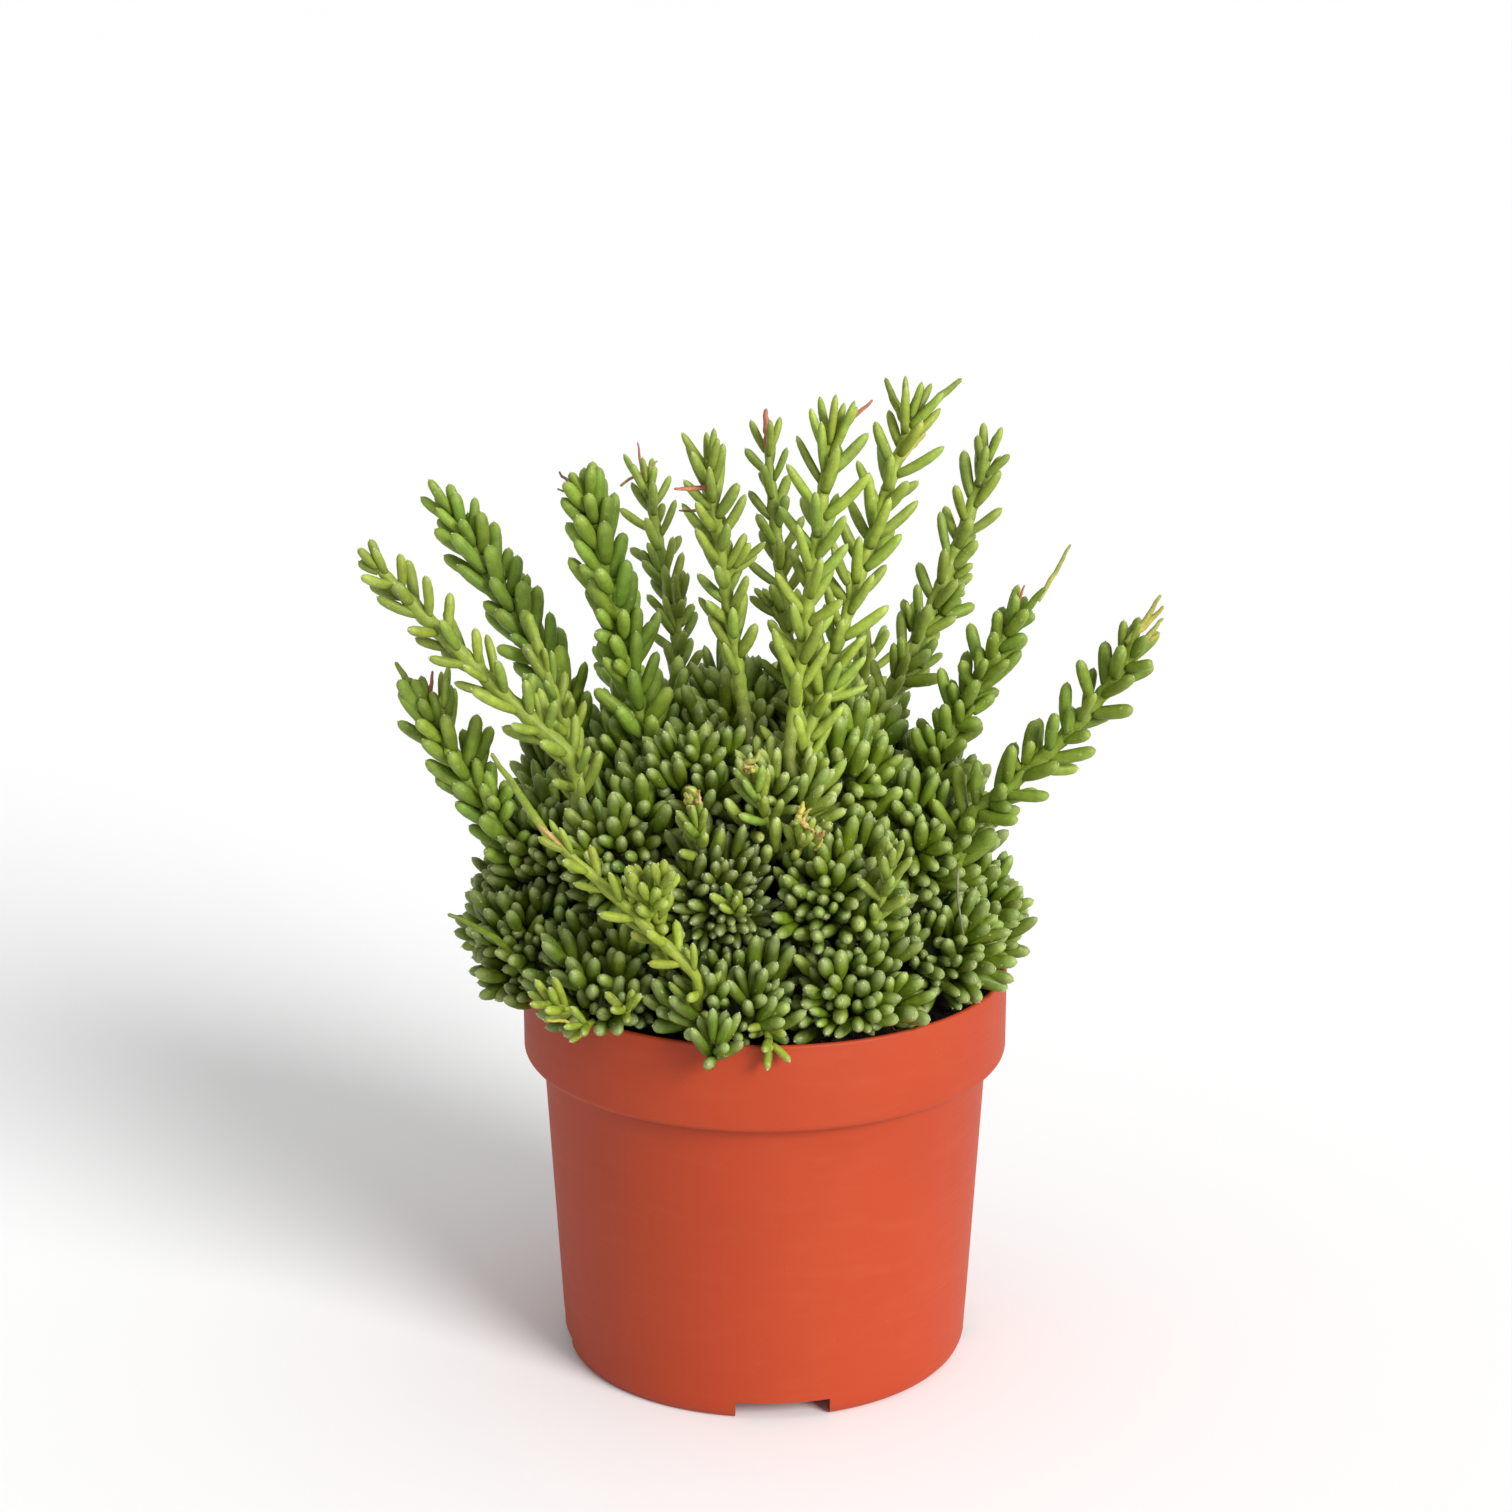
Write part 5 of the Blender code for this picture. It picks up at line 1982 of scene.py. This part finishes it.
    def turned(self) -> Piece:
        """Turns the outline round the middle, before the openings are cut.

        Returns:
            The plain pot.
        """
        points: list[Spot] = []
        rows: list[list[int]] = []
        for radius, height in self.profile():
            corners = 1 if radius == 0 else self.steps
            rows.append(list(range(len(points), len(points) + corners)))
            for step in range(corners):
                angle = step * math.tau / self.steps
                points.append((radius * math.cos(angle), radius * math.sin(angle), height))
        faces = []
        for first, second in zip(rows, rows[1:]):
            for step in range(self.steps):
                following = (step + 1) % self.steps
                face = [first[step % len(first)], second[step % len(second)]]
                face += [second[following % len(second)], first[following % len(first)]]
                faces.append(tuple(dict.fromkeys(face)))
        mesh = bpy.data.meshes.new("nursery_pot")
        mesh.from_pydata(points, [], faces)
        return placed("nursery_pot", mesh)

    def cutters(self) -> list[Piece]:
        """Makes the shapes of the notches in the foot and the drain holes in the plate.

        Returns:
            The cutters.
        """
        made = []
        for number in range(self.openings):
            turn = number * math.tau / self.openings
            notch = bmesh.new()
            bmesh.ops.create_cube(notch, size=1.0)
            size = (self.notch_width, self.notch_reach, 2 * self.notch_height)
            bmesh.ops.scale(notch, vec=size, verts=notch.verts)
            made.append(self.cutter(notch, self.notch_turn + turn, FRONT * self.foot))
            hole = bmesh.new()
            radius = self.drain_radius
            bmesh.ops.create_cone(
                hole, cap_ends=True, segments=40, radius1=radius, radius2=radius, depth=self.drain_depth
            )
            made.append(self.cutter(hole, turn, FRONT * self.drain_circle + Vector((0, 0, self.plate))))
        return made

    def cutter(self, shape: bmesh.types.BMesh, turn: float, spot: Vector) -> Piece:
        """Makes a cutter from its shape, moved out to its spot and then turned round the pot.

        Args:
            shape: The shape, which is used up.
            turn: How far round it goes, in radians.
            spot: Its place before the turn.

        Returns:
            The cutter.
        """
        placing = Matrix.Rotation(turn, 4, "Z") @ Matrix.Translation(spot)
        bmesh.ops.transform(shape, matrix=placing, verts=shape.verts)
        mesh = bpy.data.meshes.new("cutter")
        shape.to_mesh(mesh)
        shape.free()
        return placed("cutter", mesh)

    def cut(self, pot: Piece) -> None:
        """Cuts the openings and softens the pot's edges.

        Args:
            pot: The plain pot.
        """
        cutters = self.cutters()
        for cutter in cutters:
            opening = pot.modifiers.new("opening", "BOOLEAN")
            opening.operation = "DIFFERENCE"
            opening.object = cutter
        bevel = pot.modifiers.new("edges", "BEVEL")
        bevel.width = self.soft_edge
        bevel.segments = 2
        bevel.limit_method = "ANGLE"
        bevel.angle_limit = math.radians(60)
        bpy.context.view_layer.update()
        graph = bpy.context.evaluated_depsgraph_get()
        mesh = bpy.data.meshes.new_from_object(pot.evaluated_get(graph))
        pot.modifiers.clear()
        pot.data = mesh
        for cutter in cutters:
            bpy.data.objects.remove(cutter)

    def build(self) -> list[Piece]:
        """Makes the pot.

        Returns:
            The one piece.
        """
        pot = self.turned()
        self.cut(pot)
        pot.data.shade_smooth()
        pot.data.set_sharp_from_angle(angle=math.radians(38))
        pot.data.materials.append(MouldedPlastic().make())
        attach(pot, BODY)
        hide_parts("pot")
        return [pot]


@dataclass
class PottingMix:
    """The soil: a crumbly top over a plain fill, with loose crumbs and root fibres.

    The radius and height of the fill's rings, and the sizes of crumbs and fibres, are in millimetres.
    """

    seed: int = 11
    steps: int = 150
    rings: int = 64
    fill: tuple[tuple[float, float], ...] = ((57.8, 80.0), (53.2, 78.2), (49.2, 7.0))
    lump_height: float = 0.55 * MM
    grain_height: float = 0.28 * MM
    crumbs: int = 700
    smallest_crumb: float = 0.35
    largest_crumb: float = 1.1
    fibres: int = 60
    finest_fibre: float = 0.07
    thickest_fibre: float = 0.16
    fibre_step: float = 0.9 * MM

    def __post_init__(self) -> None:
        """Seeds the draws of the crumbs and fibres."""
        self.rng: Draws = np.random.default_rng(self.seed)

    def height_at(self, x: float, y: float) -> float:
        """How high the crumbly top stands at a place.

        Args:
            x: The place across, in metres.
            y: The place deep.

        Returns:
            The height.
        """
        outward = np.hypot(x, y) / RIM_RADIUS
        height = SOIL_CROWN - 0.4 * MM + (SOIL_EDGE - SOIL_CROWN) * np.clip(outward, 0, 1) ** 3
        lumps = np.sin(x * 520 + 1.3 * np.sin(y * 410)) * np.sin(y * 470 + 1.1 * np.sin(x * 380))
        grains = np.sin(x * 1900 + 2 * np.sin(y * 1500)) * np.sin(y * 2100 + 2 * np.sin(x * 1700))
        return float(height + self.lump_height * lumps + self.grain_height * grains - 0.5 * MM)

    def points(self) -> list[Spot]:
        """The middle and rings of the top, then the rings and middle of the fill.

        Returns:
            The points.
        """
        wall = RIM_RADIUS - WALL - GAP
        turns = [step * math.tau / self.steps for step in range(self.steps)]
        points: list[Spot] = [(0.0, 0.0, self.height_at(0.0, 0.0))]
        for ring in range(1, self.rings + 1):
            radius = wall * ring / self.rings
            for angle in turns:
                x, y = radius * math.cos(angle), radius * math.sin(angle)
                points.append((x, y, self.height_at(x, y)))
        for radius, height in self.fill:
            points += [(radius * MM * math.cos(angle), radius * MM * math.sin(angle), height * MM) for angle in turns]
        points.append((0.0, 0.0, self.fill[-1][1] * MM))
        return points

    def faces(self) -> Faces:
        """The faces over those points.

        Returns:
            The faces, as numbers of points.
        """
        rings = self.rings + len(self.fill)
        faces: Faces = []
        for step in range(self.steps):
            following = (step + 1) % self.steps
            faces.append((0, 1 + step, 1 + following))
            for ring in range(rings - 1):
                low, high = 1 + ring * self.steps, 1 + (ring + 1) * self.steps
                faces.append((low + step, high + step, high + following, low + following))
            last = 1 + (rings - 1) * self.steps
            faces.append((last + step, 1 + rings * self.steps, last + following))
        return faces

    def build(self) -> list[Piece]:
        """Makes the soil, its crumbs and its fibres.

        Returns:
            The three pieces.
        """
        mesh = bpy.data.meshes.new("potting_mix_top")
        mesh.from_pydata(self.points(), [], self.faces())
        mesh.shade_smooth()
        soil = placed("potting_mix_top", mesh)
        peat = Peat().make()
        mesh.materials.append(peat)
        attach(soil, BODY)
        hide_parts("soil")
        return [soil, self.add_crumbs(peat), self.add_fibres()]

    def add_crumbs(self, peat: Material) -> Piece:
        """Scatters loose crumbs on the soil.

        Args:
            peat: The soil's own finish.

        Returns:
            The piece.
        """
        sprout = Sprout("potting_mix_crumbs")
        round_points, faces = ball(1, 1.0)
        blank = np.full(round_points.shape, 0.03)
        for _ in range(self.crumbs):
            radius = math.sqrt(self.rng.uniform(0, 1)) * (RIM_RADIUS - WALL - 2 * MM)
            angle = self.rng.uniform(0, math.tau)
            x, y = radius * math.cos(angle), radius * math.sin(angle)
            size = self.rng.uniform(self.smallest_crumb, self.largest_crumb) * MM
            z = self.height_at(x, y) + 0.3 * size
            rough = round_points * self.rng.uniform(0.6, 1.3, (len(round_points), 1))
            points = rough * size * self.rng.uniform(0.7, 1.2, 3)
            sprout.add(points + np.array([x, y, z]), faces, blank, blank)
        made = sprout.build([peat])
        made.data.shade_flat()
        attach(made, BODY)
        return made

    def add_fibres(self) -> Piece:
        """Lays pale root fibres across the soil.

        Returns:
            The piece.
        """
        sprout = Sprout("root_fibres")
        for _ in range(self.fibres):
            course = self.fibre_course()
            if len(course) > 3:
                thickness = self.rng.uniform(self.finest_fibre, self.thickest_fibre) * MM
                skins = np.full(course.shape, 0.3)
                sprout.tube(course, np.full(len(course), thickness), skins, self.rng.uniform(0, 9), 5)
        made = sprout.build([DryFibre("root_fibre", pale=(0.34, 0.24, 0.14), dark=(0.12, 0.075, 0.04)).make()])
        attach(made, BODY)
        return made

    def fibre_course(self) -> Array:
        """A curling course just over the soil, which stops short of the wall.

        Returns:
            Its points.
        """
        radius = math.sqrt(self.rng.uniform(0.2, 1)) * (RIM_RADIUS - WALL - 5 * MM)
        angle = self.rng.uniform(0, math.tau)
        heading = self.rng.uniform(0, math.tau)
        curl = self.rng.normal(0, 220)
        place = np.array([radius * math.cos(angle), radius * math.sin(angle)])
        course = []
        for _ in range(self.rng.integers(6, 14)):
            if np.hypot(*place) > RIM_RADIUS - WALL - 1.5 * MM:
                break
            lift = 0.25 * MM + abs(self.rng.normal(0, 0.25)) * MM
            course.append([*place, self.height_at(place[0], place[1]) + lift])
            heading += curl * self.fibre_step
            place = place + self.fibre_step * np.array([math.cos(heading), math.sin(heading)])
        return np.array(course)


@dataclass
class Studio:
    """The pale floor, the soft lights and the camera."""

    camera_spot: Spot = (-0.0022, -0.76, 0.3705)
    camera_pitch: float = math.radians(16)
    sensor: float = 36
    lens: float = 77.14
    key_azimuth: float = -48
    key_elevation: float = 26
    key_distance: float = 1.5
    key_spread: float = math.radians(28)
    key_strength: float = 3.5
    shaded_side: float = 0.0
    lit_side: float = 0.28
    zenith: float = 0.90
    floor_reach: float = 14.0
    floor_height: float = -0.05 * MM

    def build(self) -> None:
        """Sets the stage, with its camera at the photograph's place."""
        self.add_floor()
        self.add_world()
        self.add_key()
        camera = placed("camera", bpy.data.cameras.new("camera"))
        camera.data.sensor_width = self.sensor
        camera.data.lens = self.lens
        camera.location = self.camera_spot
        camera.rotation_euler = (math.pi / 2 - self.camera_pitch, 0, 0)
        bpy.context.scene.camera = camera
        bpy.context.scene.view_settings.view_transform = "Standard"

    def add_floor(self) -> None:
        """Lays a wide level floor."""
        mesh = bpy.data.meshes.new("floor")
        reach = self.floor_reach
        corners = [(-reach, -reach, 0), (reach, -reach, 0), (reach, reach, 0), (-reach, reach, 0)]
        mesh.from_pydata(corners, [], [(0, 1, 2, 3)])
        floor = placed("floor", mesh)
        floor.location.z = self.floor_height
        mesh.materials.append(Backdrop().make())

    def add_world(self) -> None:
        """Lights all round in white, strongest from overhead, weakest low on the shaded side."""
        world = bpy.data.worlds.new("studio")
        world.use_nodes = True
        nodes, links = world.node_tree.nodes, world.node_tree.links
        place = nodes.new("ShaderNodeTexCoord")
        split = nodes.new("ShaderNodeSeparateXYZ")
        links.new(place.outputs["Generated"], split.inputs["Vector"])
        level = nodes.new("ShaderNodeMapRange")
        for name, value in (("From Min", -1.0), ("To Min", self.shaded_side), ("To Max", self.lit_side)):
            level.inputs[name].default_value = value
        links.new(split.outputs["X"], level.inputs["Value"])
        height = nodes.new("ShaderNodeMapRange")
        height.inputs["To Max"].default_value = self.zenith
        links.new(split.outputs["Z"], height.inputs["Value"])
        links.new(level.outputs["Result"], height.inputs["To Min"])
        background = nodes["Background"]
        background.inputs["Color"].default_value = (1, 1, 1, 1)
        links.new(height.outputs["Result"], background.inputs["Strength"])
        bpy.context.scene.world = world

    def add_key(self) -> None:
        """Hangs the large soft light at the front right, far enough off to be even."""
        light = bpy.data.lights.new("key", "SUN")
        light.energy = self.key_strength
        light.angle = self.key_spread
        key = placed("key", light)
        around, rise = math.radians(self.key_azimuth), math.radians(self.key_elevation)
        way = Vector((math.cos(around) * math.cos(rise), math.sin(around) * math.cos(rise), math.sin(rise)))
        key.location = Vector((0, 0, POT_HEIGHT)) + way * self.key_distance
        key.rotation_euler = way.to_track_quat("Z", "Y").to_euler()


def main() -> None:
    """Builds every piece in order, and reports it."""
    logging.basicConfig(level=logging.INFO, format="%(name)s: %(message)s")
    for assembly in (NurseryPot, PottingMix, Plant):
        for piece in assembly().build():
            LOG.info("%s: %d faces", piece.name, len(piece.data.polygons))
    Studio().build()


if __name__ == "__main__":
    main()
